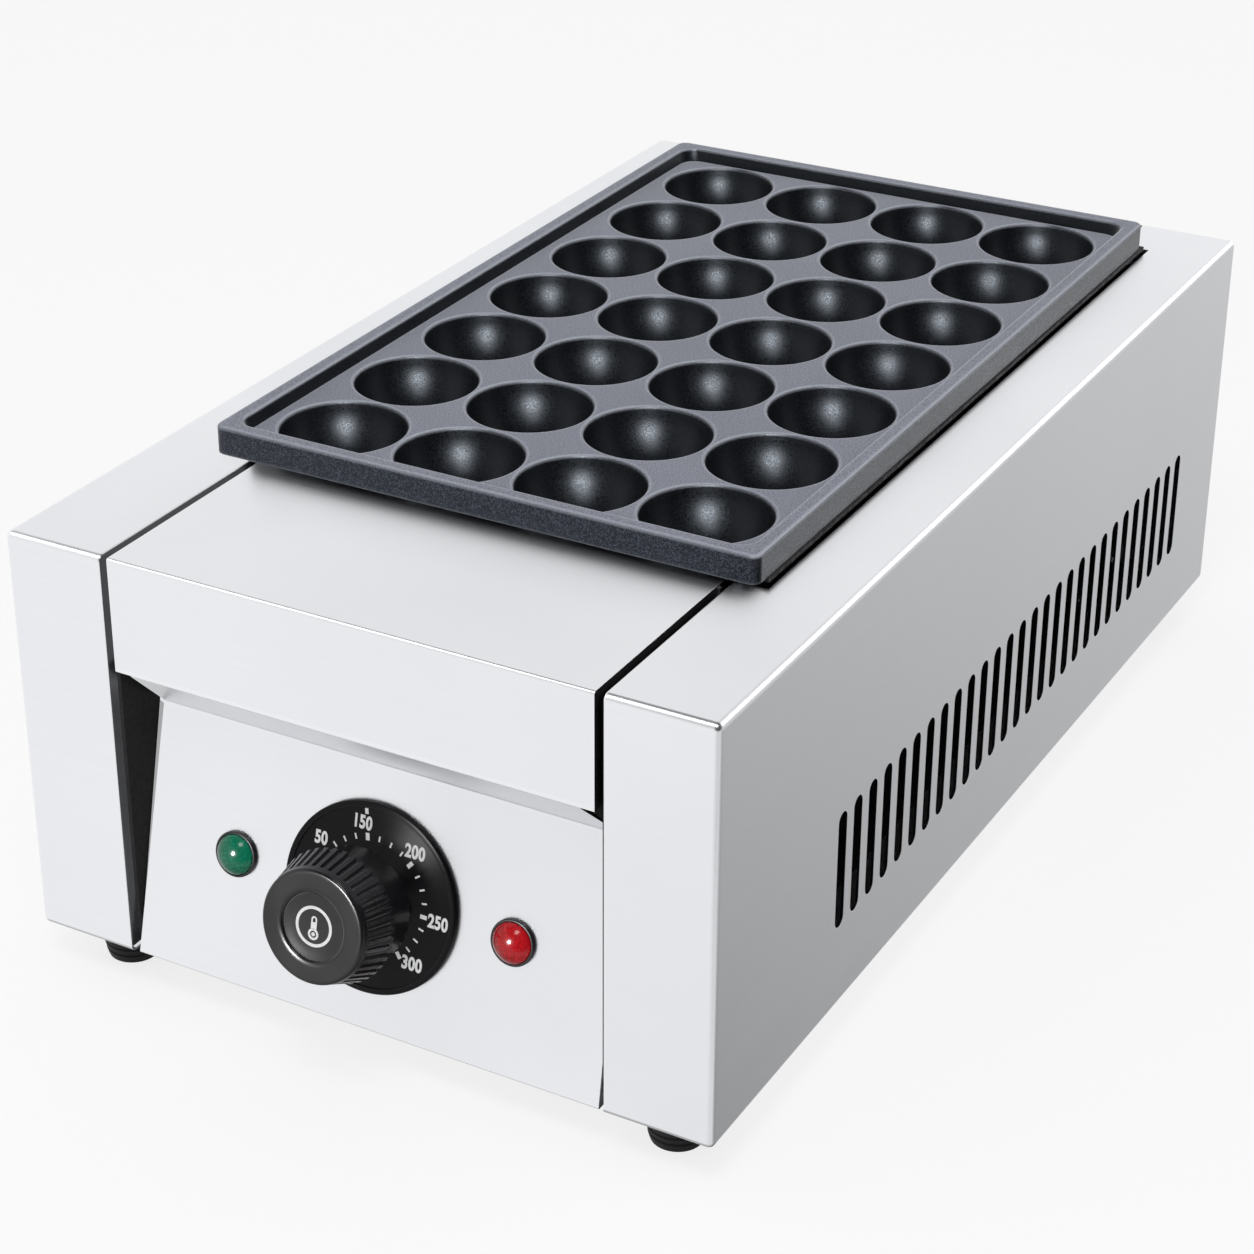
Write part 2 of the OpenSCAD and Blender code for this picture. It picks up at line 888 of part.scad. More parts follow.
module thermostat_body() {
    top = -sheet;
    color([0.85, 0.84, 0.8])
        on_panel()
            difference() {
                union() {
                    // Front bracket, case and threaded bush
                    translate([0, 0, top - body_plate_t])
                        block(
                            [-thermostat_screw_x - 6, -9, 0],
                            [thermostat_screw_x + 6, 9, body_plate_t]
                        );
                    translate([0, 0, top - body_plate_t - body_d])
                        block(
                            [-body_w / 2, -body_h / 2, 0],
                            [body_w / 2, body_h / 2, body_d]
                        );
                    translate([0, 0, top - 1])
                        cylinder(r = bush_r, h = bush_out + 1 - top);
                    // Flat tabs for the wires
                    for (s = [-1, 1])
                        translate([s * tab_up, -tab_up, top - body_plate_t - body_d - tab_len])
                            block([-3, -0.4, 0], [3, 0.4, tab_len + 1]);
                }
                translate([0, 0, top - body_plate_t - 4])
                    cylinder(r = spindle_r + run_gap, h = 20);
                for (s = [-1, 1])
                    translate([s * thermostat_screw_x, 0, top - body_plate_t - 7])
                        cylinder(r = thermostat_screw_r + screw_gap, h = 10);
            }
}

module thermostat_screws() {
    color(zinc)
        for (s = [-1, 1])
            on_panel(s * thermostat_screw_x)
                translate([0, 0, dial_t])
                    pan_screw(thermostat_screw_r, dial_t + sheet + body_plate_t + 3, 3.2, 1.6);
}

module spindle() {
    start = -sheet - body_plate_t - 3;
    color(zinc)
        on_panel()
            difference() {
                translate([0, 0, start])
                    cylinder(r = spindle_r, h = knob_h - 5 - start);
                // Flat that drives the knob
                translate([spindle_r * 0.6, -spindle_r, bush_out + 1])
                    cube([spindle_r, 2 * spindle_r, knob_h]);
            }
}

module knob() {
    grip_low = knob_h - grip_len;
    lean = atan((grip_r_low - grip_r_high) / (grip_len - face_chamfer));
    color(black)
        on_panel()
            difference() {
                rotate_extrude()
                    polygon([
                        [0, knob_low], [hub_r - hub_waist, knob_low],
                        [hub_r, knob_low + hub_flare], [hub_r, grip_low],
                        [grip_r_low - 0.4, grip_low], [grip_r_low, grip_low + 0.4],
                        [grip_r_high, knob_h - face_chamfer],
                        [grip_r_high - face_chamfer, knob_h], [cap_r, knob_h],
                        [cap_r, knob_h - cap_sink - 1.5], [0, knob_h - cap_sink - 1.5]
                    ]);
                // Grooves of the grip, open towards the panel
                for (i = [0 : knob_grooves - 1])
                    rotate([0, 0, i * 360 / knob_grooves])
                        translate([grip_r_low - groove_in, 0, grip_low - 1])
                            rotate([0, -lean, 0])
                                cylinder(r = groove_r, h = grip_len - face_chamfer, $fn = 4);
                // Bore with its flat
                difference() {
                    translate([0, 0, knob_low - 1])
                        cylinder(r = spindle_r + run_gap, h = knob_h - 5 - knob_low + 1.2);
                    translate([spindle_r * 0.6 + run_gap, -hub_r, knob_low + 1])
                        cube([spindle_r, 2 * hub_r, knob_h]);
                }
            }
}

module knob_cap() {
    color([0.12, 0.12, 0.13])
        on_panel()
            translate([0, 0, knob_h - cap_sink - 1.5])
                cylinder(r = cap_r - run_gap, h = 1.5);
}

// Bulb that feels the plate's heat, along the middle of the well
module thermostat_bulb() {
    color([0.78, 0.5, 0.35])
        rod([0, bulb_front, bulb_z], [-90, 0, 0], bulb_r, bulb_len);
}

module bulb_clips() {
    z = reflector_z + reflector_t;
    color(zinc)
        for (y = bulb_clip_ys)
            difference() {
                union() {
                    rod([0, y, bulb_z], [-90, 0, 0], bulb_r + 1, clip_len);
                    block([-0.6, y, z], [0.6, y + clip_len, bulb_z - bulb_r]);
                    block([-clip_foot, y, z], [clip_foot, y + clip_len, z + frame_t]);
                }
                rod([0, y - 1, bulb_z], [-90, 0, 0], bulb_r + run_gap, clip_len + 2);
            }
}

module capillary_tube() {
    out = -sheet - body_plate_t - body_d / 2;
    path = [
        [0, bulb_front, bulb_z],
        [0, bulb_front - 3, bulb_z],
        [0, bulb_front - 10, bulb_z + 1],
        [0, bulb_front - capillary_dip, capillary_z],
        [0, bulkhead_front + 6, capillary_z],
        [0, bulkhead_front - 6, capillary_z],
        [0, bulkhead_front - 15, capillary_z - 5],
        [0, bulkhead_front - 20, capillary_z - 18],
        panel_point(0, control_up + body_h / 2 + 10, out),
        panel_point(0, control_up + body_h / 2, out)
    ];
    color([0.78, 0.5, 0.35])
        wire(path, capillary_r);
}

module bulkhead_grommet() {
    color(black)
        translate([0, bulkhead_front + frame_t, capillary_z])
            rotate([90, 0, 0])
                difference() {
                    union() {
                        cylinder(r = grommet_r, h = frame_t);
                        translate([0, 0, -1.2])
                            cylinder(r = grommet_r + 1.6, h = 1.2);
                        translate([0, 0, frame_t])
                            cylinder(r = grommet_r + 1.6, h = 1.2);
                    }
                    translate([0, 0, -2])
                        cylinder(r = capillary_r + screw_gap, h = 6);
                }
}

// ------------------------------------------------------------------- lamps

// Holder with a round bezel in front of the panel and a body behind it
module lamp_body(x) {
    color(black)
        on_panel(x)
            difference() {
                union() {
                    cylinder(r = lamp_bezel_r, h = lamp_bezel_t);
                    translate([0, 0, -lamp_body_len])
                        cylinder(r = lamp_body_r, h = lamp_body_len + 1);
                }
                translate([0, 0, lamp_seat])
                    cylinder(r = lens_r, h = lamp_bezel_t);
            }
}

module green_lamp_body() {
    lamp_body(-lamp_x);
}

module red_lamp_body() {
    lamp_body(lamp_x);
}

// Domed lens, seated in the bezel
module lens(x, tint) {
    dome_h = lens_h - lamp_bezel_t;
    dome_r = (lens_r * lens_r + dome_h * dome_h) / (2 * dome_h);
    color(tint)
        on_panel(x)
            intersection() {
                translate([0, 0, lamp_seat])
                    cylinder(r = lens_r, h = lens_h);
                translate([0, 0, lens_h - dome_r])
                    sphere(r = dome_r);
            }
}

module green_lens() {
    lens(-lamp_x, [0.05, 0.5, 0.3]);
}

module red_lens() {
    lens(lamp_x, [0.65, 0.06, 0.08]);
}

module lamp_nuts() {
    color(black)
        for (s = [-1, 1])
            on_panel(s * lamp_x)
                translate([0, 0, -sheet - 3])
                    ring(lamp_body_r + 2.5, lamp_body_r + run_gap, 3);
}

module lamp_tabs() {
    color(brass)
        for (s = [-1, 1])
            for (u = [-1, 1])
                on_panel(s * lamp_x)
                    translate([u * 3, 0, -lamp_body_len - lamp_tab_len])
                        block([-0.4, -1.5, 0], [0.4, 1.5, lamp_tab_len]);
}

// ------------------------------------------------------------------ wiring

block_y = bulkhead_rear + frame_t + 2;
block_mid_y = block_y + block_d / 2;
wire_z = pan_top + 8;
earth_z = pan_top + 4;

module terminal_block() {
    color([0.92, 0.91, 0.86])
        difference() {
            block([-block_w / 2, block_y, pan_top], [block_w / 2, block_y + block_d, pan_top + block_h]);
            for (x = wire_xs) {
                rod([x, block_y + block_d + 1, wire_z], [90, 0, 0], 2, 5);
                rod([x, block_mid_y, pan_top + block_h - 4], [0, 0, 0], 2.2, 6);
            }
        }
}

module terminal_screws() {
    color(brass)
        for (x = wire_xs)
            rod([x, block_mid_y, pan_top + block_h - 4], [0, 0, 0], 2.1, 2.5);
}

// Two leads run forward under the tray, two join the lamps, one is the earth
module wiring() {
    out = -sheet - body_plate_t - body_d - tab_len;
    stud_y = tube_front - stud_len;
    low_up = control_up - tab_up;
    lamp_out = -lamp_body_len - lamp_tab_len;
    turn_y = bulkhead_front - 14;
    color([0.75, 0.74, 0.7]) {
        for (s = [-1, 1]) {
            x = s * tab_up;
            // From the block to a tab of the thermostat
            wire([
                [x, block_y, wire_z],
                [x, turn_y + 10, wire_z],
                [x, turn_y, wire_z + 3],
                panel_point(x, low_up, out - 6),
                panel_point(x, low_up, out)
            ], wire_r);
            // From the element's stud down to the lamp beside it
            wire([
                [s * cup_x(cup_cols - 1), stud_y, tube_z],
                [s * cup_x(cup_cols - 1), stud_y - 4, tube_z],
                [s * cup_x(cup_cols - 1), stud_y - 8, tube_z - 6],
                [s * (lamp_x + 3), stud_y - 3, base_z + control_up + 14],
                panel_point(s * (lamp_x + 3), control_up, lamp_out - 6),
                panel_point(s * (lamp_x + 3), control_up, lamp_out)
            ], wire_r, [1, 0.2, 0]);
        }
        // Earth lead, from the block's side to the stud on the pan
        wire([
            [-block_w / 2, block_mid_y, wire_z],
            [-block_w / 2 - 4, block_mid_y, wire_z],
            [earth_x + earth_washer_r + 6, block_mid_y, earth_z + 1.4],
            [earth_x + earth_washer_r, block_mid_y, earth_z + 1.4]
        ], wire_r, [0, 0, 1]);
    }
}

// Earth stud on the pan, with its nuts
module earth_stud() {
    color(brass)
        translate([earth_x, block_mid_y, pan_top]) {
            cylinder(r = 2, h = 12);
            cylinder(r = 4.2, h = 3.2, $fn = 6);
            translate([0, 0, earth_z - pan_top])
                cylinder(r = earth_washer_r, h = 2.8);
        }
}

module gland_body() {
    color(black)
        translate([gland_x, rear_y, gland_z])
            rotate([-90, 0, 0])
                difference() {
                    union() {
                        cylinder(r = gland_nut_r, h = gland_hex_h, $fn = 6);
                        translate([0, 0, -9])
                            cylinder(r = gland_r, h = gland_out - gland_cap_h + 9 + 6);
                    }
                    translate([0, 0, -10])
                        cylinder(r = cable_r, h = gland_out + 20);
                }
}

module gland_cap() {
    low = gland_out - gland_cap_h;
    color(black)
        translate([gland_x, rear_y, gland_z])
            rotate([-90, 0, 0])
                difference() {
                    rotate_extrude()
                        polygon([
                            [0, low], [gland_nut_r - 0.5, low], [gland_nut_r - 0.5, low + 7],
                            [cable_r + 3, gland_out], [0, gland_out]
                        ]);
                    translate([0, 0, low - 1])
                        cylinder(r = gland_r + run_gap, h = 7 + 0.1);
                    cylinder(r = cable_r + 0.8, h = gland_out + 1);
                }
}

module gland_locknut() {
    color(black)
        translate([gland_x, rear_y - sheet, gland_z])
            rotate([90, 0, 0])
                hex_nut(gland_nut_r, gland_r + run_gap, 4);
}

// -------------------------------------------------------- feet and screws

module foot(sx, sy) {
    color([0.07, 0.07, 0.07])
        translate([sx * foot_x, sy * foot_y, 0])
            difference() {
                cylinder(r1 = foot_r_low, r2 = foot_r_top, h = foot_h);
                translate([0, 0, -1])
                    cylinder(r = foot_recess_r, h = foot_recess_h + 1);
                translate([0, 0, foot_recess_h - 1])
                    cylinder(r = foot_bore_r, h = foot_h);
            }
}

module front_left_foot() {
    foot(-1, -1);
}

module front_right_foot() {
    foot(1, -1);
}

module rear_left_foot() {
    foot(-1, 1);
}

module rear_right_foot() {
    foot(1, 1);
}

module foot_screws() {
    color(zinc)
        for (sx = [-1, 1])
            for (sy = [-1, 1])
                translate([sx * foot_x, sy * foot_y, foot_recess_h])
                    mirror([0, 0, 1])
                        pan_screw(foot_screw_r, pan_top + foot_nut_h + 1 - foot_recess_h, foot_head_r, 2.6);
}

module foot_nuts() {
    color(zinc)
        for (sx = [-1, 1])
            for (sy = [-1, 1])
                translate([sx * foot_x, sy * foot_y, pan_top])
                    hex_nut(foot_nut_r, foot_screw_r + run_gap, foot_nut_h);
}

// Up through the casings' bottom strips, the pan and the frame plates' feet
module frame_screws() {
    color(zinc)
        for (s = [-1, 1])
            for (y = frame_screw_ys)
                translate([s * frame_screw_x, y, base_z])
                    mirror([0, 0, 1])
                        small_screw(2 * sheet + frame_t + 3);
}

module cover_screws() {
    color(zinc)
        for (s = [-1, 1])
            for (y = cover_screw_ys)
                translate([s * frame_out, y, cover_screw_z])
                    rotate([0, 90 * s, 0])
                        small_screw(frame_out - cover_x + sheet + 3);
}

module rear_cover_screws() {
    color(zinc)
        for (s = [-1, 1])
            for (z = rear_screw_zs)
                translate([s * rear_screw_x, rear_y, z])
                    rotate([-90, 0, 0])
                        small_screw(sheet + frame_t + 4);
}

module panel_screws() {
    color(zinc)
        for (s = [-1, 1])
            for (y = [panel_screw_y, -panel_screw_y])
                translate([s * panel_screw_x, y, base_z])
                    mirror([0, 0, 1])
                        small_screw(2 * sheet + 4);
}

module tray_screws() {
    color(zinc)
        for (s = [-1, 1])
            for (y = tray_screw_ys)
                translate([s * frame_out, y, tray_screw_z])
                    rotate([0, 90 * s, 0])
                        small_screw(frame_t + sheet + 2);
}

// ------------------------------------------------------------- mould plate

module mould_plate() {
    lug_x = rest_in - 0.5;
    lug_ys = [cup_y(0) + cup_pitch / 2, cup_y(cup_rows - 2) + cup_pitch / 2];
    w = plate_w - 2 * rim_w;
    d = plate_d - 2 * rim_w;
    color(coating)
        difference() {
            union() {
                translate([-plate_w / 2, plate_front, plate_z])
                    linear_extrude(plate_t + rim_h)
                        polygon(round_rect(plate_w, plate_d, [for (i = [0 : 3]) plate_corner_r]));
                // Round undersides of the cups
                intersection() {
                    for (i = [0 : cup_cols - 1])
                        for (j = [0 : cup_rows - 1])
                            translate([cup_x(i), cup_y(j), floor_z + cup_ball_up])
                                sphere(r = boss_r);
                    block(
                        [-plate_w, plate_front, cup_low - 5],
                        [plate_w, plate_rear, plate_z + 1]
                    );
                }
                // Lugs that keep the plate between the frame's shelves
                for (s = [-1, 1])
                    for (y = lug_ys)
                        translate([s * (lug_x - lug_w / 2), y, plate_z])
                            block(
                                [-lug_w / 2, -lug_len / 2, -lug_h],
                                [lug_w / 2, lug_len / 2, 1]
                            );
            }
            translate([-w / 2, plate_front + rim_w, floor_z])
                linear_extrude(rim_h + 1)
                    polygon(round_rect(w, d, [for (i = [0 : 3]) recess_corner_r]));
            for (i = [0 : cup_cols - 1])
                for (j = [0 : cup_rows - 1])
                    translate([cup_x(i), cup_y(j), floor_z + cup_ball_up])
                        sphere(r = cup_ball_r);
        }
}

base_pan();
left_casing();
right_casing();
centre_cover();
rear_cover();
left_frame_plate();
right_frame_plate();
front_bulkhead();
rear_bulkhead();
insulation_tray();
insulation_board();
reflector();
element_brackets();
heating_element();
element_fittings();
element_terminals();
control_panel();
dial_plate();
dial_bezel();
thermostat_body();
thermostat_screws();
capillary_tube();
thermostat_bulb();
bulb_clips();
bulkhead_grommet();
green_lamp_body();
red_lamp_body();
green_lens();
red_lens();
lamp_nuts();
lamp_tabs();
terminal_block();
terminal_screws();
wiring();
earth_stud();
gland_body();
gland_cap();
gland_locknut();
front_left_foot();
front_right_foot();
rear_left_foot();
rear_right_foot();
foot_screws();
foot_nuts();
frame_screws();
cover_screws();
rear_cover_screws();
panel_screws();
tray_screws();
mould_plate();
knob();
knob_cap();
spindle();
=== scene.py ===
"""Countertop takoyaki maker: a black cast plate of round cups on a satin steel case.

Everything is modelled in millimetres and brought to metres as each piece is finished.
X is to the right, Y to the rear and Z up; the feet stand at Z = 0.
"""

import json
import math

import bmesh
import bpy
from mathutils import Matrix, Quaternion, Vector

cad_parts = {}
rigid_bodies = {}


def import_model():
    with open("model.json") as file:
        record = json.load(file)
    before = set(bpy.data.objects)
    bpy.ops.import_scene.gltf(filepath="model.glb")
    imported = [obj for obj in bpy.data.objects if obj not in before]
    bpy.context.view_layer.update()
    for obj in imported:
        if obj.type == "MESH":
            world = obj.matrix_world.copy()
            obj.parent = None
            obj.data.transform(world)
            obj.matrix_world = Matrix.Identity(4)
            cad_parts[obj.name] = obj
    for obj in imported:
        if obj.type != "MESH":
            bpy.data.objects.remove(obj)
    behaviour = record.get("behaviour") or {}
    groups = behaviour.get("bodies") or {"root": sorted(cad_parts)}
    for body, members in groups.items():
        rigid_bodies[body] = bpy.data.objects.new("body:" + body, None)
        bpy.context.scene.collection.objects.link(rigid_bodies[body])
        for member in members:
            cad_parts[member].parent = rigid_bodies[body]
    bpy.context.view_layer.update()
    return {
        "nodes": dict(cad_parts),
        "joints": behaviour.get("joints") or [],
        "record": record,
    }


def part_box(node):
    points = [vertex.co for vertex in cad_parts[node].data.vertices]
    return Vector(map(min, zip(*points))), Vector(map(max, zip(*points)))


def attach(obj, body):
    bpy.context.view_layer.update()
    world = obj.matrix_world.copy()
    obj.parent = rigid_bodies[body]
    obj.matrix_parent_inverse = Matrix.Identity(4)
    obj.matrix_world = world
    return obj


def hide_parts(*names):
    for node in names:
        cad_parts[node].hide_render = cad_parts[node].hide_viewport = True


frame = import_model()

MM = 0.001
UP = Vector((0, 0, 1))
scene = bpy.context.scene

# ------------------------------------------------------------------ places


def box_mm(node):
    """Lowest and highest corner of a node, in millimetres."""
    low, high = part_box(node)
    return low / MM, high / MM


casing_low, casing_high = box_mm("right_casing")
cover_low, cover_high = box_mm("centre_cover")
plate_low, plate_high = box_mm("mould_plate")
lamp_low, lamp_high = box_mm("red_lens")

SHEET = 0.8  # thickness of the steel sheet
BEND = 2.0  # outside radius of its bends
seam_x = casing_low.x
half_w = casing_high.x
front_y = casing_low.y
rear_y = casing_high.y
base_z = casing_low.z
top_z = casing_high.z
fascia_z = cover_low.z
cover_x = cover_high.x
panel_x = box_mm("control_panel")[1].x

LIP = 9.0  # depth of the folded lips on the casings' inner edges
WELL_GAP = 1.2  # between the plate's sides and the notch in the casings
PLATE_REACH = 4.8  # how far the plate's front reaches over the notch's edge
well_x = plate_high.x + WELL_GAP
well_front = plate_low.y + PLATE_REACH
well_rear = box_mm("rear_cover")[0].y

FOLD_BACK = 19.0  # from the front to the fold above the tilted panel
FOLD_UP = 79.0  # from the case's foot to that fold

SLOT_PITCH = 10.2
SLOT_W = 5.6
SLOT_LEN = 38.5
SLOT_START = 78.0  # from the front to the first slot's middle
SLOT_END = 42.0
SLOT_LOW = 28.0  # from the case's foot to the slots
slot_count = int((rear_y - front_y - SLOT_START - SLOT_END) / SLOT_PITCH) + 1

# The panel's own axes: X right, Y up the slope, Z out of its face
turn = next(j for j in frame["joints"] if j["name"] == "knob_turn")
panel_out = -Vector(turn["axis"]).normalized()
panel_right = Vector((1, 0, 0))
panel_up = panel_out.cross(panel_right)
ON_PANEL = Matrix((panel_right, panel_up, panel_out)).transposed().to_4x4()
ON_PANEL.translation = Vector(turn["pos_m"]) / MM
lamp_x = (lamp_low.x + lamp_high.x) / 2

# Cups of the mould plate
CUP_COLS = 4
CUP_ROWS = 7
CUP_PITCH = 41.0
CUP_R = 19.5
CUP_DEPTH = 17.0
CUP_WALL = 2.5
RIM_W = 5.0
RIM_H = 4.5
PLATE_T = 4.7
RIM_FOOT = RIM_W + 0.65  # inset of the line where the rim meets the floor
RIM_FOOT_R = 6.05  # corner radius of that line
plate_mid = (plate_low.y + plate_high.y) / 2
rim_z = plate_high.z
floor_z = rim_z - RIM_H
skirt_z = floor_z - PLATE_T
cup_ball_r = (CUP_R**2 + CUP_DEPTH**2) / (2 * CUP_DEPTH)
cup_ball_up = cup_ball_r - CUP_DEPTH
cup_places = [
    Vector(((i - (CUP_COLS - 1) / 2) * CUP_PITCH, plate_mid + (j - (CUP_ROWS - 1) / 2) * CUP_PITCH, 0))
    for j in range(CUP_ROWS)
    for i in range(CUP_COLS)
]

# --------------------------------------------------------------- mesh tools


def arc(centre, r, start, end, steps):
    """Points of an arc in a plane, angles in degrees."""
    angles = [math.radians(start + (end - start) * i / steps) for i in range(steps + 1)]
    return [(centre[0] + r * math.cos(a), centre[1] + r * math.sin(a)) for a in angles]


def rounded_path(points, r):
    """A path in a plane with every inner corner rounded to radius r."""
    steps = 6
    path = [tuple(points[0])]
    for before, corner, after in zip(points, points[1:], points[2:]):
        corner = Vector(corner)
        a = (Vector(before) - corner).normalized()
        b = (Vector(after) - corner).normalized()
        half = a.angle(b) / 2
        centre = corner + (a + b).normalized() * (r / math.sin(half))
        first = corner + a * (r / math.tan(half)) - centre
        last = corner + b * (r / math.tan(half)) - centre
        for i in range(steps + 1):
            spoke = first.lerp(last, i / steps).normalized() * r
            path.append(tuple(centre + spoke))
    path.append(tuple(points[-1]))
    return path


def chain(bm, points, closed=False):
    """Vertices at the points, joined by edges."""
    verts = [bm.verts.new(p) for p in points]
    pairs = list(zip(verts, verts[1:]))
    if closed:
        pairs.append((verts[-1], verts[0]))
    return [bm.edges.new(p) for p in pairs]


def edge_verts(edges):
    """The vertices that these edges join."""
    return list({v for e in edges for v in e.verts})


def new_verts(result):
    """The vertices that an operator made."""
    return [g for g in result["geom"] if isinstance(g, bmesh.types.BMVert)]


def new_edges(result):
    """The edges that an operator made."""
    return [g for g in result["geom"] if isinstance(g, bmesh.types.BMEdge)]


def block(bm, low, high):
    """A box between two corners; returns its vertices."""
    low, high = Vector(low), Vector(high)
    size = Matrix.Diagonal((*(high - low), 1))
    matrix = Matrix.Translation((low + high) / 2) @ size
    return bmesh.ops.create_cube(bm, size=1, matrix=matrix)["verts"]


def bevel(bm, edges, width, segments):
    """Rounds these edges."""
    return bmesh.ops.bevel(
        bm,
        geom=list(edges),
        offset=width,
        offset_type="OFFSET",
        segments=segments,
        profile=0.5,
        affect="EDGES",
        material=-1,
        clamp_overlap=True,
    )


def spun(bm, profile, steps=64, place=None):
    """A profile of (radius, height) points turned once about Z."""
    old = set(bm.verts)
    edges = chain(bm, [(r, 0, z) for r, z in profile])
    bmesh.ops.spin(
        bm,
        geom=edge_verts(edges) + edges,
        cent=(0, 0, 0),
        axis=(0, 0, 1),
        angle=math.tau,
        steps=steps,
        use_merge=True,
        use_duplicate=False,
    )
    verts = [v for v in bm.verts if v not in old]
    bmesh.ops.remove_doubles(bm, verts=verts, dist=1e-4)
    verts = [v for v in bm.verts if v not in old]
    if place:
        bmesh.ops.transform(bm, matrix=place, verts=verts)
    return verts


def facing_out(bm):
    """Turns the faces outward: away from the middle, for an open shell too."""
    bmesh.ops.remove_doubles(bm, verts=bm.verts, dist=1e-4)
    bmesh.ops.recalc_face_normals(bm, faces=bm.faces)
    middle = sum((v.co for v in bm.verts), Vector()) / len(bm.verts)
    outward = sum((f.calc_center_median() - middle).dot(f.normal) * f.calc_area() for f in bm.faces)
    if outward < 0:
        bmesh.ops.reverse_faces(bm, faces=bm.faces)


def link(mesh, name):
    """A new object in the scene."""
    obj = bpy.data.objects.new(name, mesh)
    scene.collection.objects.link(obj)
    return obj


def shade(mesh, angle):
    """Smooth shading, with creases where faces meet at more than this angle."""
    mesh.shade_smooth()
    mesh.set_sharp_from_angle(angle=math.radians(angle))


def with_modifiers(obj, name, *modifiers):
    """The object's mesh with these modifiers applied to it."""
    for kind, values in modifiers:
        modifier = obj.modifiers.new(kind.lower(), kind)
        for key, value in values.items():
            setattr(modifier, key, value)
    graph = bpy.context.evaluated_depsgraph_get()
    mesh = bpy.data.meshes.new_from_object(obj.evaluated_get(graph))
    mesh.name = name
    bpy.data.objects.remove(obj)
    return mesh


def piece(bm, name, material, place=None, thickness=None, edge=None, angle=32, weighted=True):
    """Finishes a mesh made in millimetres: a wall thickness, softened edges and smooth shading."""
    if place:
        bmesh.ops.transform(bm, matrix=place, verts=bm.verts)
    facing_out(bm)
    bmesh.ops.scale(bm, vec=(MM, MM, MM), verts=bm.verts)
    mesh = bpy.data.meshes.new(name)
    bm.to_mesh(mesh)
    bm.free()
    modifiers = []
    if thickness:
        wall = {"thickness": thickness * MM, "offset": -1, "use_even_offset": True}
        modifiers.append(("SOLIDIFY", wall))
    if edge:
        softened = {"width": edge * MM, "segments": 2, "harden_normals": False}
        softened |= {"limit_method": "ANGLE", "angle_limit": math.radians(50)}
        modifiers.append(("BEVEL", softened))
    if modifiers:
        mesh = with_modifiers(link(mesh, name + "_raw"), name, *modifiers)
    obj = link(mesh, name)
    shade(mesh, angle)
    if weighted:
        soft = obj.modifiers.new("weighted", "WEIGHTED_NORMAL")
        soft.keep_sharp = True
    mesh.materials.clear()
    mesh.materials.append(material)
    return obj


def fit(obj, body, slot, *nodes):
    """The piece rides on a body and stands for these nodes, which it hides; slot is not used."""
    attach(obj, body)
    if nodes:
        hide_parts(*nodes)
    return obj


# --------------------------------------------------------------- materials


def set_inputs(tree, node, values):
    """Sets a node's inputs to values, or links them to other nodes' outputs."""
    for key, value in values.items():
        if hasattr(value, "links"):
            tree.links.new(value, node.inputs[key])
        else:
            node.inputs[key].default_value = value


def add_node(tree, kind, inputs=None, **settings):
    """A new node with these settings and inputs."""
    node = tree.nodes.new(kind)
    for key, value in settings.items():
        setattr(node, key, value)
    set_inputs(tree, node, inputs or {})
    return node


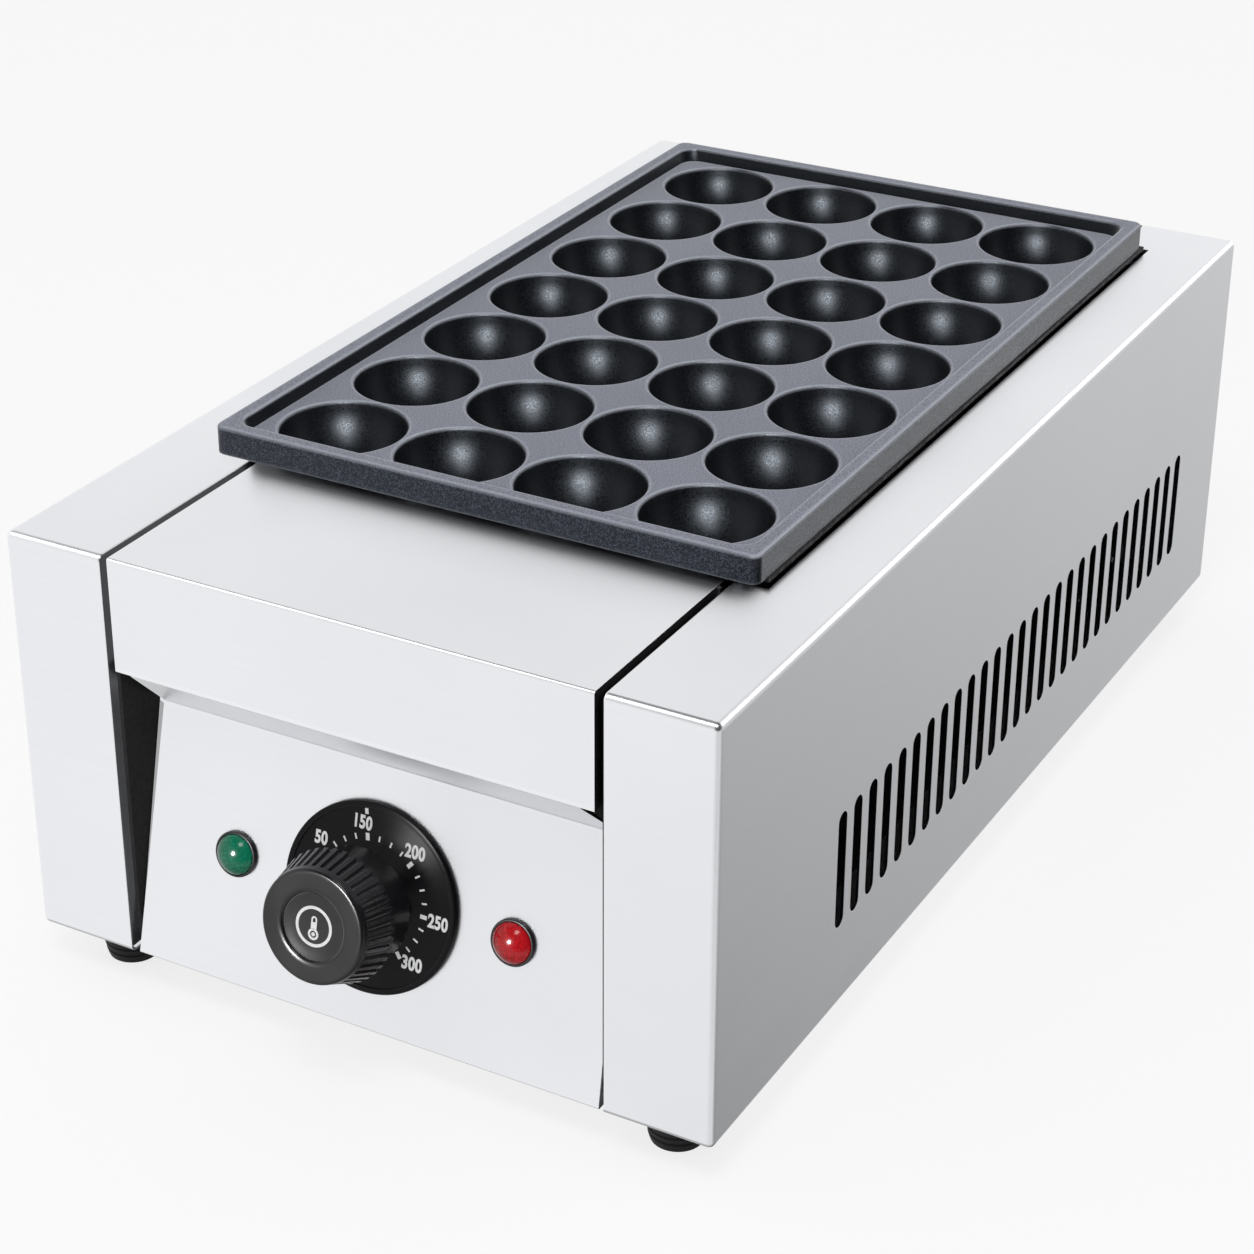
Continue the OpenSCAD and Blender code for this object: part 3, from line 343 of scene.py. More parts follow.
class Surface:
    """A material being put together from nodes."""

    def __init__(self, name, colour, roughness, metallic=0.0, **sockets):
        self.material = bpy.data.materials.new(name)
        self.material.use_nodes = True
        self.tree = self.material.node_tree
        self.shader = self.tree.nodes["Principled BSDF"]
        self.set(self.shader, {"Base Color": (*colour, 1), "Roughness": roughness, "Metallic": metallic})
        self.set(self.shader, {key.replace("_", " "): value for key, value in sockets.items()})
        self.place = self.add("ShaderNodeTexCoord").outputs["Object"]

    def set(self, node, values):
        set_inputs(self.tree, node, values)

    def add(self, kind, inputs=None, **settings):
        return add_node(self.tree, kind, inputs, **settings)

    def noise(self, scale, detail=2.0, roughness=0.5, stretch=None):
        """Noise over the object's own coordinates, drawn out along an axis by stretch."""
        place = self.place
        if stretch:
            place = self.add("ShaderNodeMapping", {"Vector": place, "Scale": stretch}).outputs["Vector"]
        inputs = {"Vector": place, "Scale": scale, "Detail": detail, "Roughness": roughness}
        return self.add("ShaderNodeTexNoise", inputs).outputs["Fac"]

    def remap(self, value, low, high, to_low, to_high):
        inputs = {"Value": value, "From Min": low, "From Max": high, "To Min": to_low, "To Max": to_high}
        return self.add("ShaderNodeMapRange", inputs).outputs["Result"]

    def maths(self, operation, a, b=0.0):
        return self.add("ShaderNodeMath", {0: a, 1: b}, operation=operation).outputs[0]

    def above(self, value, limit):
        return self.maths("GREATER_THAN", value, limit)

    def below(self, value, limit):
        return self.maths("LESS_THAN", value, limit)

    def both(self, first, *others):
        """1 where every one of these masks is 1."""
        for mask in others:
            first = self.maths("MULTIPLY", first, mask)
        return first

    def normal(self):
        """The surface's own direction, as its X, Y and Z."""
        facing = self.add("ShaderNodeNewGeometry").outputs["Normal"]
        return self.add("ShaderNodeSeparateXYZ", {0: facing}).outputs

    def spot(self):
        """The place on the object, as its X, Y and Z."""
        return self.add("ShaderNodeSeparateXYZ", {0: self.place}).outputs

    def mix(self, factor, a, b):
        """Mix of two colours."""
        return self.add("ShaderNodeMix", {0: factor, 6: a, 7: b}, data_type="RGBA").outputs[2]

    def edges(self, radius, low=0.02, high=0.25):
        """1 along outer edges, 0 on flat faces: the mask for rubbed edges and for painted edge
        highlights.
        """
        rounded = self.add("ShaderNodeBevel", {"Radius": radius * MM}, samples=4).outputs["Normal"]
        normal = self.add("ShaderNodeNewGeometry").outputs["Normal"]
        both = self.add("ShaderNodeVectorMath", {0: rounded, 1: normal}, operation="DOT_PRODUCT")
        turned = self.maths("SUBTRACT", 1.0, both.outputs["Value"])
        return self.remap(turned, low, high, 0.0, 1.0)

    def bump(self, height, strength, distance):
        """Fine relief of this depth in millimetres."""
        relief = {"Height": height, "Strength": strength, "Distance": distance * MM}
        self.set(self.shader, {"Normal": self.add("ShaderNodeBump", relief).outputs["Normal"]})


def painted_shade_places(s, normal):
    """Masks and levels of painted shade: the steel is darkened in the seams, on the panel's returned
    edges and on the slots' walls.
    """
    spot = s.spot()
    out = s.maths("ABSOLUTE", spot["X"])
    turned = s.maths("ABSOLUTE", normal["X"])
    seam = s.both(s.above(turned, 0.9), s.below(out, (seam_x + 2) * MM))
    panel = s.both(
        s.above(turned, 0.12),
        s.below(turned, 0.9),
        s.below(out, (panel_x + 0.2) * MM),
        s.below(spot["Z"], (base_z + FOLD_UP - 1) * MM),
        s.below(spot["Y"], (front_y + FOLD_BACK + 11) * MM),
    )
    slot_z = base_z + SLOT_LOW
    slot = s.both(
        s.below(turned, 0.4),
        s.above(out, (half_w - 1.1) * MM),
        s.above(spot["Z"], (slot_z - 1) * MM),
        s.below(spot["Z"], (slot_z + SLOT_LEN + 1) * MM),
    )
    return (seam, 0.30), (panel, 0.42), (slot, 0.05)


def brushed_steel(name, colour, roughness, contrast):
    """Fine brushing, along X on faces that look forward or up and along Y on the sides."""
    s = Surface(name, colour, roughness, metallic=1.0)
    along_x = s.noise(2400, 2, 0.5, stretch=(0.006, 1, 1))
    along_y = s.noise(2400, 2, 0.5, stretch=(1, 0.006, 1))
    normal = s.normal()
    sideways = s.above(s.maths("ABSOLUTE", normal["X"]), 0.7)
    brushing = {0: sideways, 2: along_x, 3: along_y}
    grain = s.add("ShaderNodeMix", brushing, data_type="FLOAT").outputs[0]
    cloud = s.noise(9, 3, 0.55)
    painted_edge_highlight = s.edges(1.2)
    dark = tuple(c * (1 - 0.10 * contrast) for c in colour)
    light = tuple(min(1, c * (1 + 0.06 * contrast)) for c in colour)
    tone = s.mix(s.remap(grain, 0.3, 0.7, 0, 1), (*dark, 1), (*light, 1))
    tone = s.mix(s.remap(cloud, 0.35, 0.75, 0, 0.30), tone, (*(c * 0.93 for c in colour), 1))
    # Painted highlight: the steel's outer edges and bends are lightened nearly to white
    tone = s.mix(s.maths("MULTIPLY", painted_edge_highlight, 0.8), tone, (0.97, 0.97, 0.98, 1))
    # Painted shade: darker steel in the seams, on the panel's returns and on the slots' walls
    for mask, shade_of in painted_shade_places(s, normal):
        tone = s.mix(mask, tone, (*(c * shade_of for c in colour), 1))
    rough = s.remap(grain, 0.3, 0.7, roughness - 0.02, roughness + 0.03)
    rough = s.maths("ADD", rough, s.remap(cloud, 0.3, 0.7, -0.02, 0.03))
    s.set(s.shader, {"Base Color": tone, "Roughness": rough})
    s.bump(grain, 0.06 * contrast, 0.006)
    return s.material


def clouded_black(s, colour):
    """Black plastic's colour, a little uneven, and the noise that makes it so."""
    cloud = s.noise(60, 2, 0.5)
    paler = (*(c * 1.5 for c in colour), 1)
    return cloud, s.mix(s.remap(cloud, 0.35, 0.7, 0, 0.6), (*colour, 1), paler)


def moulded_black(name, colour):
    """Satin plastic with a fine moulded texture, a little paler along its edges."""
    roughness = 0.36
    s = Surface(name, colour, roughness, Specular_IOR_Level=0.35)
    cloud, tone = clouded_black(s, colour)
    tone = s.mix(s.maths("MULTIPLY", s.edges(0.35), 0.35), tone, (0.06, 0.06, 0.063, 1))
    rough = s.remap(cloud, 0.3, 0.7, roughness - 0.05, roughness + 0.06)
    s.set(s.shader, {"Base Color": tone, "Roughness": rough})
    s.bump(s.noise(1400, 2, 0.5), 0.25, 0.03)
    return s.material


def turned_black(name, colour, roughness, level, sheen=0.0):
    """Black plastic of a turned part; sheen draws its highlights out from the knob's axis."""
    s = Surface(name, colour, roughness, Specular_IOR_Level=level, Anisotropic=sheen)
    if sheen:
        axis = ON_PANEL.translation * MM
        away = s.add("ShaderNodeVectorMath", {0: s.place, 1: axis}, operation="SUBTRACT")
        s.set(s.shader, {"Tangent": away.outputs["Vector"]})
    cloud, tone = clouded_black(s, colour)
    # Paler edges: wear, and a painted highlight along the knob's ribs and the dial's rim
    worn = s.maths("MULTIPLY", s.edges(0.35, 0.01, 0.15), 0.6)
    tone = s.mix(worn, tone, (0.10, 0.10, 0.105, 1))
    rough = s.remap(cloud, 0.3, 0.7, roughness - 0.04, roughness + 0.04)
    s.set(s.shader, {"Base Color": tone, "Roughness": rough})
    s.bump(s.noise(1600, 2, 0.5), 0.12, 0.01)
    return s.material


def soft_rubber(name):
    """Dull rubber with a little dust."""
    s = Surface(name, (0.010, 0.010, 0.011), 0.62, Specular_IOR_Level=0.3)
    grain = s.noise(900, 3, 0.6)
    dust = s.noise(70, 3, 0.6)
    tone = s.mix(s.remap(dust, 0.5, 0.8, 0, 0.5), (0.010, 0.010, 0.011, 1), (0.035, 0.034, 0.033, 1))
    s.set(s.shader, {"Base Color": tone, "Roughness": s.remap(dust, 0.3, 0.7, 0.55, 0.72)})
    s.bump(grain, 0.35, 0.05)
    return s.material


def non_stick(name):
    """Black coating, deep in the cups; a painted sheen of paler speckled grey on the upward flats and a
    painted paler front skirt; pale edges from wear and painted highlight.
    """
    black = (0.006, 0.007, 0.010)
    cool = (0.82, 0.90, 1.0, 1)
    s = Surface(name, black, 0.36, Specular_IOR_Level=0.24, Specular_Tint=cool)
    peel = s.noise(1700, 2, 0.6)
    speck = s.noise(2500, 1, 0.5)
    cloud = s.noise(22, 2, 0.5)
    spot = s.spot()
    normal = s.normal()
    # Painted sheen: faces that look up, at and above the floor's level, take a paler blue-grey
    level = s.remap(spot["Z"], (floor_z - 1.2) * MM, (floor_z - 0.5) * MM, 0, 1)
    flat = s.both(level, s.remap(normal["Z"], 0.55, 0.95, 0, 1))
    # Painted light: the skirt's front is paler than its other sides
    front = s.remap(normal["Y"], -0.5, -0.9, 0, 1)
    front = s.both(front, s.below(spot["Y"], (plate_low.y + 2) * MM))
    skirt = s.remap(spot["Z"], (skirt_z + 0.2) * MM, (skirt_z + 0.9) * MM, 0, 1)
    cup = s.mix(
        s.remap(speck, 0.55, 0.72, 0, 1), (0.0015, 0.002, 0.003, 1), (0.012, 0.014, 0.020, 1)
    )
    side = s.mix(
        s.remap(speck, 0.46, 0.66, 0, 1), (0.012, 0.014, 0.021, 1), (0.070, 0.078, 0.100, 1)
    )
    top = s.mix(
        s.remap(speck, 0.40, 0.66, 0, 1), (0.125, 0.134, 0.168, 1), (0.290, 0.305, 0.365, 1)
    )
    tone = s.mix(s.both(front, skirt), cup, side)
    tone = s.mix(flat, tone, top)
    tone = s.mix(s.remap(cloud, 0.3, 0.7, 0, 0.12), tone, (0.02, 0.022, 0.03, 1))
    # Along the foot of the rim the pale edge line, from wear and painted highlight, is weaker
    across = s.maths("ABSOLUTE", spot["X"])
    along = s.maths("ABSOLUTE", s.maths("SUBTRACT", spot["Y"], plate_mid * MM))
    foot_x = plate_high.x - RIM_FOOT - 0.9
    foot_y = (plate_high.y - plate_low.y) / 2 - RIM_FOOT - 0.9
    foot = s.maths("MAXIMUM", s.above(across, foot_x * MM), s.above(along, foot_y * MM))
    foot = s.both(foot, s.below(spot["Z"], (floor_z + 0.7) * MM))
    kept = s.maths("SUBTRACT", 0.85, s.maths("MULTIPLY", foot, 0.60))
    # Pale edges: wear, and a painted highlight along the rims and the cups' edges
    worn = s.both(s.edges(1.2, 0.004, 0.04), kept)
    tone = s.mix(worn, tone, (0.56, 0.59, 0.66, 1))
    s.set(s.shader, {"Base Color": tone, "Roughness": s.remap(peel, 0.3, 0.7, 0.24, 0.46)})
    s.bump(peel, 0.45, 0.05)
    return s.material


def pebbled_lens(name, colour, painted_glow):
    """Clear tinted plastic over a pebbled back, with a painted glow where it faces the viewer and
    painted glints on the pebbles.
    """
    s = Surface(name, colour, 0.20, Coat_Weight=0.35, Coat_Roughness=0.05, Specular_IOR_Level=0.15)
    pebbles = s.add("ShaderNodeTexVoronoi", {"Vector": s.place, "Scale": 1300.0}).outputs["Distance"]
    painted_sparkle = s.remap(pebbles, 0.15, 0.55, 1, 0)
    # Painted glow: brighter where the lens faces the viewer, deeper towards its edge
    facing = s.add("ShaderNodeLayerWeight", {"Blend": 0.35}).outputs["Facing"]
    deep = s.mix(s.remap(facing, 0.05, 0.75, 0, 1), (*painted_glow, 1), (*colour, 1))
    # Painted glints: bright specks on the pebbles
    painted_glint = (*(min(1, c * 1.9 + 0.01) for c in painted_glow), 1)
    tone = s.mix(s.maths("MULTIPLY", painted_sparkle, 0.55), deep, painted_glint)
    s.set(s.shader, {"Base Color": tone, "Roughness": s.remap(pebbles, 0.1, 0.6, 0.14, 0.26)})
    s.bump(pebbles, 0.25, 0.05)
    return s.material


def turned_metal(name, colour):
    """Small turned or drawn parts with light machining marks."""
    roughness = 0.3
    s = Surface(name, colour, roughness, metallic=1.0)
    marks = s.noise(1800, 3, 0.6, stretch=(1, 0.1, 1))
    stain = s.noise(120, 3, 0.55)
    worn = s.edges(0.3)
    tone = s.mix(s.remap(stain, 0.35, 0.7, 0, 0.7), (*colour, 1), (*(c * 0.72 for c in colour), 1))
    tone = s.mix(s.maths("MULTIPLY", worn, 0.5), tone, (*(min(1, c * 1.3) for c in colour), 1))
    rough = s.remap(marks, 0.3, 0.7, roughness - 0.06, roughness + 0.12)
    s.set(s.shader, {"Base Color": tone, "Roughness": rough})
    s.bump(marks, 0.15, 0.02)
    return s.material


def dark_paint(name):
    """Dull black paint with a slight peel."""
    s = Surface(name, (0.010, 0.010, 0.011), 0.6, Specular_IOR_Level=0.25)
    peel = s.noise(700, 2, 0.5)
    cloud = s.noise(14, 2, 0.5)
    tone = s.mix(s.remap(cloud, 0.35, 0.7, 0, 1), (0.008, 0.008, 0.009, 1), (0.020, 0.020, 0.021, 1))
    s.set(s.shader, {"Base Color": tone, "Roughness": s.remap(peel, 0.3, 0.7, 0.52, 0.7)})
    s.bump(peel, 0.2, 0.04)
    return s.material


def felted_board(name):
    """Pressed mineral fibre."""
    s = Surface(name, (0.62, 0.56, 0.42), 0.9)
    fibres = s.noise(260, 5, 0.7, stretch=(1, 1, 3))
    clumps = s.noise(45, 4, 0.6)
    tone = s.mix(s.remap(fibres, 0.3, 0.7, 0, 1), (0.46, 0.40, 0.28, 1), (0.74, 0.68, 0.54, 1))
    tone = s.mix(s.remap(clumps, 0.4, 0.7, 0, 0.4), tone, (0.55, 0.48, 0.34, 1))
    s.set(s.shader, {"Base Color": tone})
    s.bump(fibres, 0.8, 0.4)
    return s.material


def heated_tube(name):
    """A sheath that heat has turned brown and blue in bands."""
    s = Surface(name, (0.17, 0.15, 0.14), 0.45, metallic=0.8)
    bands = s.noise(28, 3, 0.6)
    scale = s.noise(420, 3, 0.6)
    tone = s.mix(s.remap(bands, 0.35, 0.65, 0, 1), (0.13, 0.11, 0.10, 1), (0.24, 0.22, 0.23, 1))
    tone = s.mix(s.remap(scale, 0.5, 0.75, 0, 0.5), tone, (0.34, 0.30, 0.27, 1))
    s.set(s.shader, {"Base Color": tone, "Roughness": s.remap(scale, 0.3, 0.7, 0.36, 0.6)})
    s.bump(scale, 0.3, 0.03)
    return s.material


def cream_moulding(name, colour):
    """Smooth moulded plastic of the inner fittings."""
    s = Surface(name, colour, 0.42)
    grain = s.noise(800, 2, 0.5)
    cloud = s.noise(50, 2, 0.5)
    tone = s.mix(s.remap(cloud, 0.3, 0.7, 0, 0.5), (*colour, 1), (*(c * 0.86 for c in colour), 1))
    s.set(s.shader, {"Base Color": tone, "Roughness": s.remap(cloud, 0.3, 0.7, 0.36, 0.5)})
    s.bump(grain, 0.2, 0.03)
    return s.material


def woven_sleeve(name):
    """Glass sleeving of the leads."""
    s = Surface(name, (0.60, 0.58, 0.52), 0.8)
    weave = s.add("ShaderNodeTexWave", {"Vector": s.place, "Scale": 380.0, "Distortion": 2.0})
    tone = s.mix(weave.outputs["Fac"], (0.46, 0.44, 0.39, 1), (0.72, 0.70, 0.64, 1))
    s.set(s.shader, {"Base Color": tone})
    s.bump(weave.outputs["Fac"], 0.6, 0.1)
    return s.material


def white_print(name):
    """Printed marks: slightly uneven white ink."""
    s = Surface(name, (0.88, 0.88, 0.88), 0.45)
    ink = s.noise(1100, 2, 0.5)
    tone = s.mix(s.remap(ink, 0.35, 0.7, 0, 1), (0.92, 0.92, 0.92, 1), (0.78, 0.78, 0.79, 1))
    s.set(s.shader, {"Base Color": tone, "Roughness": s.remap(ink, 0.3, 0.7, 0.4, 0.52)})
    s.bump(ink, 0.1, 0.01)
    return s.material


FINISHES = {
    "stainless": brushed_steel("satin_stainless", (0.865, 0.875, 0.900), 0.33, 0.2),
    "plated_steel": brushed_steel("plated_steel", (0.62, 0.63, 0.65), 0.38, 1.2),
    "dark_steel": dark_paint("dark_paint"),
    "reflector_steel": brushed_steel("reflector_sheet", (0.72, 0.73, 0.75), 0.26, 1.3),
    "mineral_wool": felted_board("mineral_wool"),
    "tube_steel": heated_tube("heated_tube"),
    "brass": turned_metal("turned_brass", (0.72, 0.58, 0.28)),
    "copper": turned_metal("drawn_copper", (0.70, 0.42, 0.28)),
    "cream_plastic": cream_moulding("cream_moulding", (0.78, 0.76, 0.68)),
    "wire_sleeve": woven_sleeve("woven_sleeve"),
    "black_plastic": moulded_black("moulded_black", (0.009, 0.009, 0.010)),
    "dial_black": turned_black("dial_face", (0.003, 0.003, 0.004), 0.33, 0.12, 0.9),
    "knob_black": turned_black("knob_black", (0.006, 0.006, 0.007), 0.27, 0.40),
    "black_rubber": soft_rubber("foot_rubber"),
    "green_lens": pebbled_lens("green_lens", (0.0005, 0.050, 0.026), (0.001, 0.17, 0.088)),
    "red_lens": pebbled_lens("red_lens", (0.14, 0.001, 0.002), (0.46, 0.003, 0.008)),
    "non_stick_casting": non_stick("non_stick_coating"),
}
PRINT = white_print("white_print")

# ---------------------------------------------------------- folded casings


def punched_wall(bm, wall, holes):
    """Swaps a flat face for one with holes in it, each a list of points."""
    border = list(wall.edges)
    normal = wall.normal.copy()
    bmesh.ops.delete(bm, geom=[wall], context="FACES_ONLY")
    edges = border + [e for hole in holes for e in chain(bm, hole, closed=True)]
    bmesh.ops.triangle_fill(bm, use_beauty=True, use_dissolve=False, edges=edges, normal=normal)


def slot_outline(y, z):
    """Points of an upright slot in the outer wall, from its lower middle."""
    r = SLOT_W / 2
    top = arc((y, z + SLOT_LEN - r), r, 0, 180, 10)
    low = arc((y, z + r), r, 180, 360, 10)
    return [(half_w, a, b) for a, b in top + low]


def fold_lip(bm, x, front, rear, top, depth):
    """Folds a lip back from the open side's front, rear and top edges, all in one plane."""
    edges = [
        e
        for e in bm.edges
        if e.is_boundary
        and all(abs(v.co.x - x) < 0.01 for v in e.verts)
        and all(v.co.z > base_z + BEND - 0.01 for v in e.verts)
    ]
    grown = bmesh.ops.extrude_edge_only(bm, edges=edges)
    for v in new_verts(grown):
        v.co.y = min(max(v.co.y, front + depth), rear - depth)
        v.co.z = min(v.co.z, top - depth)
    bmesh.ops.remove_doubles(bm, verts=new_verts(grown), dist=1e-3)
    return edges


def casing(side):
    """One casing: a box folded from sheet, open towards the middle, with vents in its wall."""
    bm = bmesh.new()
    block(bm, (seam_x, front_y, base_z), (half_w, rear_y, top_z))
    folds = [e for e in bm.edges if any(v.co.x > seam_x + 1 for v in e.verts)]
    bevel(bm, folds, BEND, 6)
    biggest = {}
    for face in bm.faces:
        key = tuple(round(c) for c in face.normal)
        if key not in biggest or face.calc_area() > biggest[key].calc_area():
            biggest[key] = face
    open_side, wall, roof = biggest[(-1, 0, 0)], biggest[(1, 0, 0)], biggest[(0, 0, 1)]
    holes = [
        slot_outline(front_y + SLOT_START + i * SLOT_PITCH, base_z + SLOT_LOW) for i in range(slot_count)
    ]
    # The notch for the plate, cut out of the top
    parts = [roof]
    cuts = [((0, well_front, 0), (0, 1, 0)), ((0, well_rear, 0), (0, 1, 0)), ((well_x, 0, 0), (1, 0, 0))]
    for point, normal in cuts:
        geom = list({g for f in parts for g in [f, *f.edges, *f.verts]})
        cut = bmesh.ops.bisect_plane(bm, geom=geom, dist=1e-4, plane_co=point, plane_no=normal)
        faces = {g for g in cut["geom"] if isinstance(g, bmesh.types.BMFace)}
        parts = [f for f in faces if f.normal.z > 0.9]
    notch = [
        f
        for f in bm.faces
        if f.normal.z > 0.9
        and well_front < f.calc_center_median().y < well_rear
        and f.calc_center_median().x < well_x
    ]
    bmesh.ops.delete(bm, geom=[open_side, *notch], context="FACES")
    punched_wall(bm, wall, holes)
    seam = fold_lip(bm, seam_x, front_y, rear_y, top_z, LIP + SHEET)
    seam_r = 0.7
    bevel(bm, [e for e in seam if e.is_valid and not e.is_boundary], seam_r, 2)
    if side < 0:
        bmesh.ops.mirror(bm, geom=bm.verts[:] + bm.edges[:] + bm.faces[:], axis="X", merge_dist=-1)
        bmesh.ops.delete(bm, geom=[v for v in bm.verts if v.co.x > 0], context="VERTS")
    name = "right_casing" if side > 0 else "left_casing"
    obj = piece(bm, name + "_sheet", FINISHES["stainless"], thickness=SHEET, edge=0.12)
    return fit(obj, "chassis", "stainless", name)


def centre_cover():
    """Top and fascia between the casings, folded from one sheet with closed sides."""
    fold_r, side_r, foot_r, fascia_return = 1.0, 0.45, 0.5, 8
    bm = bmesh.new()
    block(bm, (-cover_x, front_y, fascia_z), (cover_x, cover_high.y, top_z))
    sharp = [e for e in bm.edges if all(v.co.y < front_y + 1 and v.co.z < fascia_z + 1 for v in e.verts)]
    folds = [
        e
        for e in bm.edges
        if e not in sharp
        and (
            all(v.co.y < front_y + 1 for v in e.verts)
            or (all(v.co.z > top_z - 1 for v in e.verts) and abs(e.verts[0].co.x - e.verts[1].co.x) < 1)
        )
    ]
    across = [e for e in folds if abs(e.verts[0].co.x - e.verts[1].co.x) > 50]
    bevel(bm, across, fold_r, 4)
    folds = [
        e
        for e in bm.edges
        if abs(e.calc_face_angle(0)) > 1
        and abs(e.verts[0].co.x - e.verts[1].co.x) < 0.01
        and (
            all(v.co.y < front_y + 0.01 for v in e.verts)
            or (all(v.co.z > top_z - 0.01 for v in e.verts) and e.calc_length() > 20)
        )
    ]
    bevel(bm, folds, side_r, 3)
    sharp = [
        e
        for e in bm.edges
        if all(v.co.y < front_y + 1 and v.co.z < fascia_z + 1 for v in e.verts)
        and abs(e.verts[0].co.x - e.verts[1].co.x) > 50
    ]
    bevel(bm, sharp, foot_r, 3)
    under = [f for f in bm.faces if f.normal.z < -0.9]
    geom = list({g for f in under for g in [f, *f.edges, *f.verts]})
    bmesh.ops.bisect_plane(
        bm, geom=geom, dist=1e-4, plane_co=(0, front_y + fascia_return, 0), plane_no=(0, 1, 0)
    )
    gone = [
        f
        for f in bm.faces
        if f.normal.y > 0.9 or (f.normal.z < -0.9 and f.calc_center_median().y > front_y + fascia_return)
    ]
    bmesh.ops.delete(bm, geom=gone, context="FACES")
    obj = piece(bm, "centre_cover_sheet", FINISHES["stainless"], thickness=SHEET, edge=0.12)
    return fit(obj, "chassis", "stainless", "centre_cover")


def folded_sheet(bm, path, half):
    """Draws a path in Y and Z out to both sides, as a sheet without thickness."""
    edges = chain(bm, [(-half, y, z) for y, z in path])
    grown = bmesh.ops.extrude_edge_only(bm, edges=edges)
    bmesh.ops.translate(bm, verts=new_verts(grown), vec=(2 * half, 0, 0))


def rear_cover():
    """Back and rear end of the top, in one sheet with its foot turned under."""
    bm = bmesh.new()
    foot_return, side_gap = 20, 0.3
    path = rounded_path(
        [
            (rear_y - foot_return, base_z),
            (rear_y, base_z),
            (rear_y, top_z),
            (well_rear, top_z),
            (well_rear, top_z - LIP),
        ],
        BEND,
    )
    folded_sheet(bm, path, seam_x - side_gap)
    obj = piece(bm, "rear_cover_sheet", FINISHES["stainless"], thickness=SHEET, edge=0.12)
    return fit(obj, "chassis", "stainless", "rear_cover")


def control_panel():
    """Slanted face and tilted panel in one sheet, its side edges folded back."""
    fold_y, fold_z = front_y + FOLD_BACK, base_z + FOLD_UP
    foot_y, foot_return = front_y + 1, 18
    top_gap, fold_r = 1.1, 0.6
    edge_w, mitre_w, return_w, foot_lift = 2.2, 5.2, 7, 1.2
    bm = bmesh.new()
    slope = Vector((fold_y - front_y, fold_z - fascia_z)).normalized() * top_gap
    path = rounded_path(
        [
            (front_y + slope.x, fascia_z + slope.y),
            (fold_y, fold_z),
            (foot_y, base_z),
            (foot_y + foot_return, base_z),
        ],
        fold_r,
    )
    folded_sheet(bm, path, panel_x - edge_w)
    # The slanted face is mitred, and the panel's edges taper to nothing at its foot
    for v in bm.verts:
        side = math.copysign(1, v.co.x)
        if v.co.z > fold_z + 1:
            v.co.x = side * (panel_x - mitre_w)
        if v.co.z < base_z + 2:
            v.co.x = side * panel_x
    sides = [
        e
        for e in bm.edges
        if e.is_boundary
        and all(v.co.z < fold_z + 1 for v in e.verts)
        and abs(e.verts[0].co.x - e.verts[1].co.x) < 5
    ]
    grown = new_verts(bmesh.ops.extrude_edge_only(bm, edges=sides))
    for v in grown:
        share = min(1, max(0, (v.co.z - base_z) / (fold_z - base_z)))
        v.co.x = math.copysign(panel_x, v.co.x)
        v.co.y += 0.5 + 0.5 * share
    border = [e for e in bm.edges if e.is_boundary and all(v in grown for v in e.verts)]
    back = new_verts(bmesh.ops.extrude_edge_only(bm, edges=border))
    bmesh.ops.translate(bm, verts=back, vec=(0, return_w, 0))
    for v in back:
        v.co.z = max(v.co.z, base_z + foot_lift)
    obj = piece(bm, "control_panel_sheet", FINISHES["stainless"], thickness=SHEET, angle=11)
    return fit(obj, "chassis", "stainless", "control_panel")


def relief_hole_shade_discs():
    """Black discs at the fascia's upper corners that paint the shade inside its tiny round relief holes.
    """
    r, inset, back = 0.55, 0.8, 0.30
    profile = [(0, 0), (r * 0.8, 0), (r, -0.2), (r, -0.5)]
    bm = bmesh.new()
    for side in (-1, 1):
        place = Vector((side * (cover_x - inset), front_y + back, top_z - inset))
        out = Vector((0.6 * side, -1, 0.6)).normalized()
        turn_out = out.to_track_quat("Z", "Y").to_matrix().to_4x4()
        spun(bm, profile, 12, Matrix.Translation(place) @ turn_out)
    obj = piece(bm, "relief_holes", FINISHES["black_plastic"], weighted=False)
    return fit(obj, "chassis", "dark_steel")


# ------------------------------------------------------------- mould plate


def rounded_ring(bm, inset, r, z):
    """A closed rectangle with round corners, inset from the plate's outline."""
    w = plate_high.x - inset
    d = (plate_high.y - plate_low.y) / 2 - inset
    points = []
    for corner, start in (((1, -1), 270), ((1, 1), 0), ((-1, 1), 90), ((-1, -1), 180)):
        centre = (corner[0] * (w - r), plate_mid + corner[1] * (d - r))
        points += arc(centre, r, start, start + 90, 8)
    return chain(bm, [(x, y, z) for x, y in points], closed=True)


def dimples(bm, profile, steps):
    """The same spun dimple at every cup; returns the edges round their mouths."""
    first = spun(bm, profile, steps)
    faces = list({f for v in first for f in v.link_faces})
    mouth_r = profile[0][0]
    mouths = []
    for place in cup_places:
        copy = bmesh.ops.duplicate(bm, geom=first + faces + list({e for f in faces for e in f.edges}))
        verts = new_verts(copy)
        bmesh.ops.translate(bm, verts=verts, vec=place)
        mouths += [
            e
            for e in new_edges(copy)
            if e.is_boundary and all(abs((v.co - place).xy.length - mouth_r) < 0.05 for v in e.verts)
        ]
    bmesh.ops.delete(bm, geom=first, context="VERTS")
    return mouths


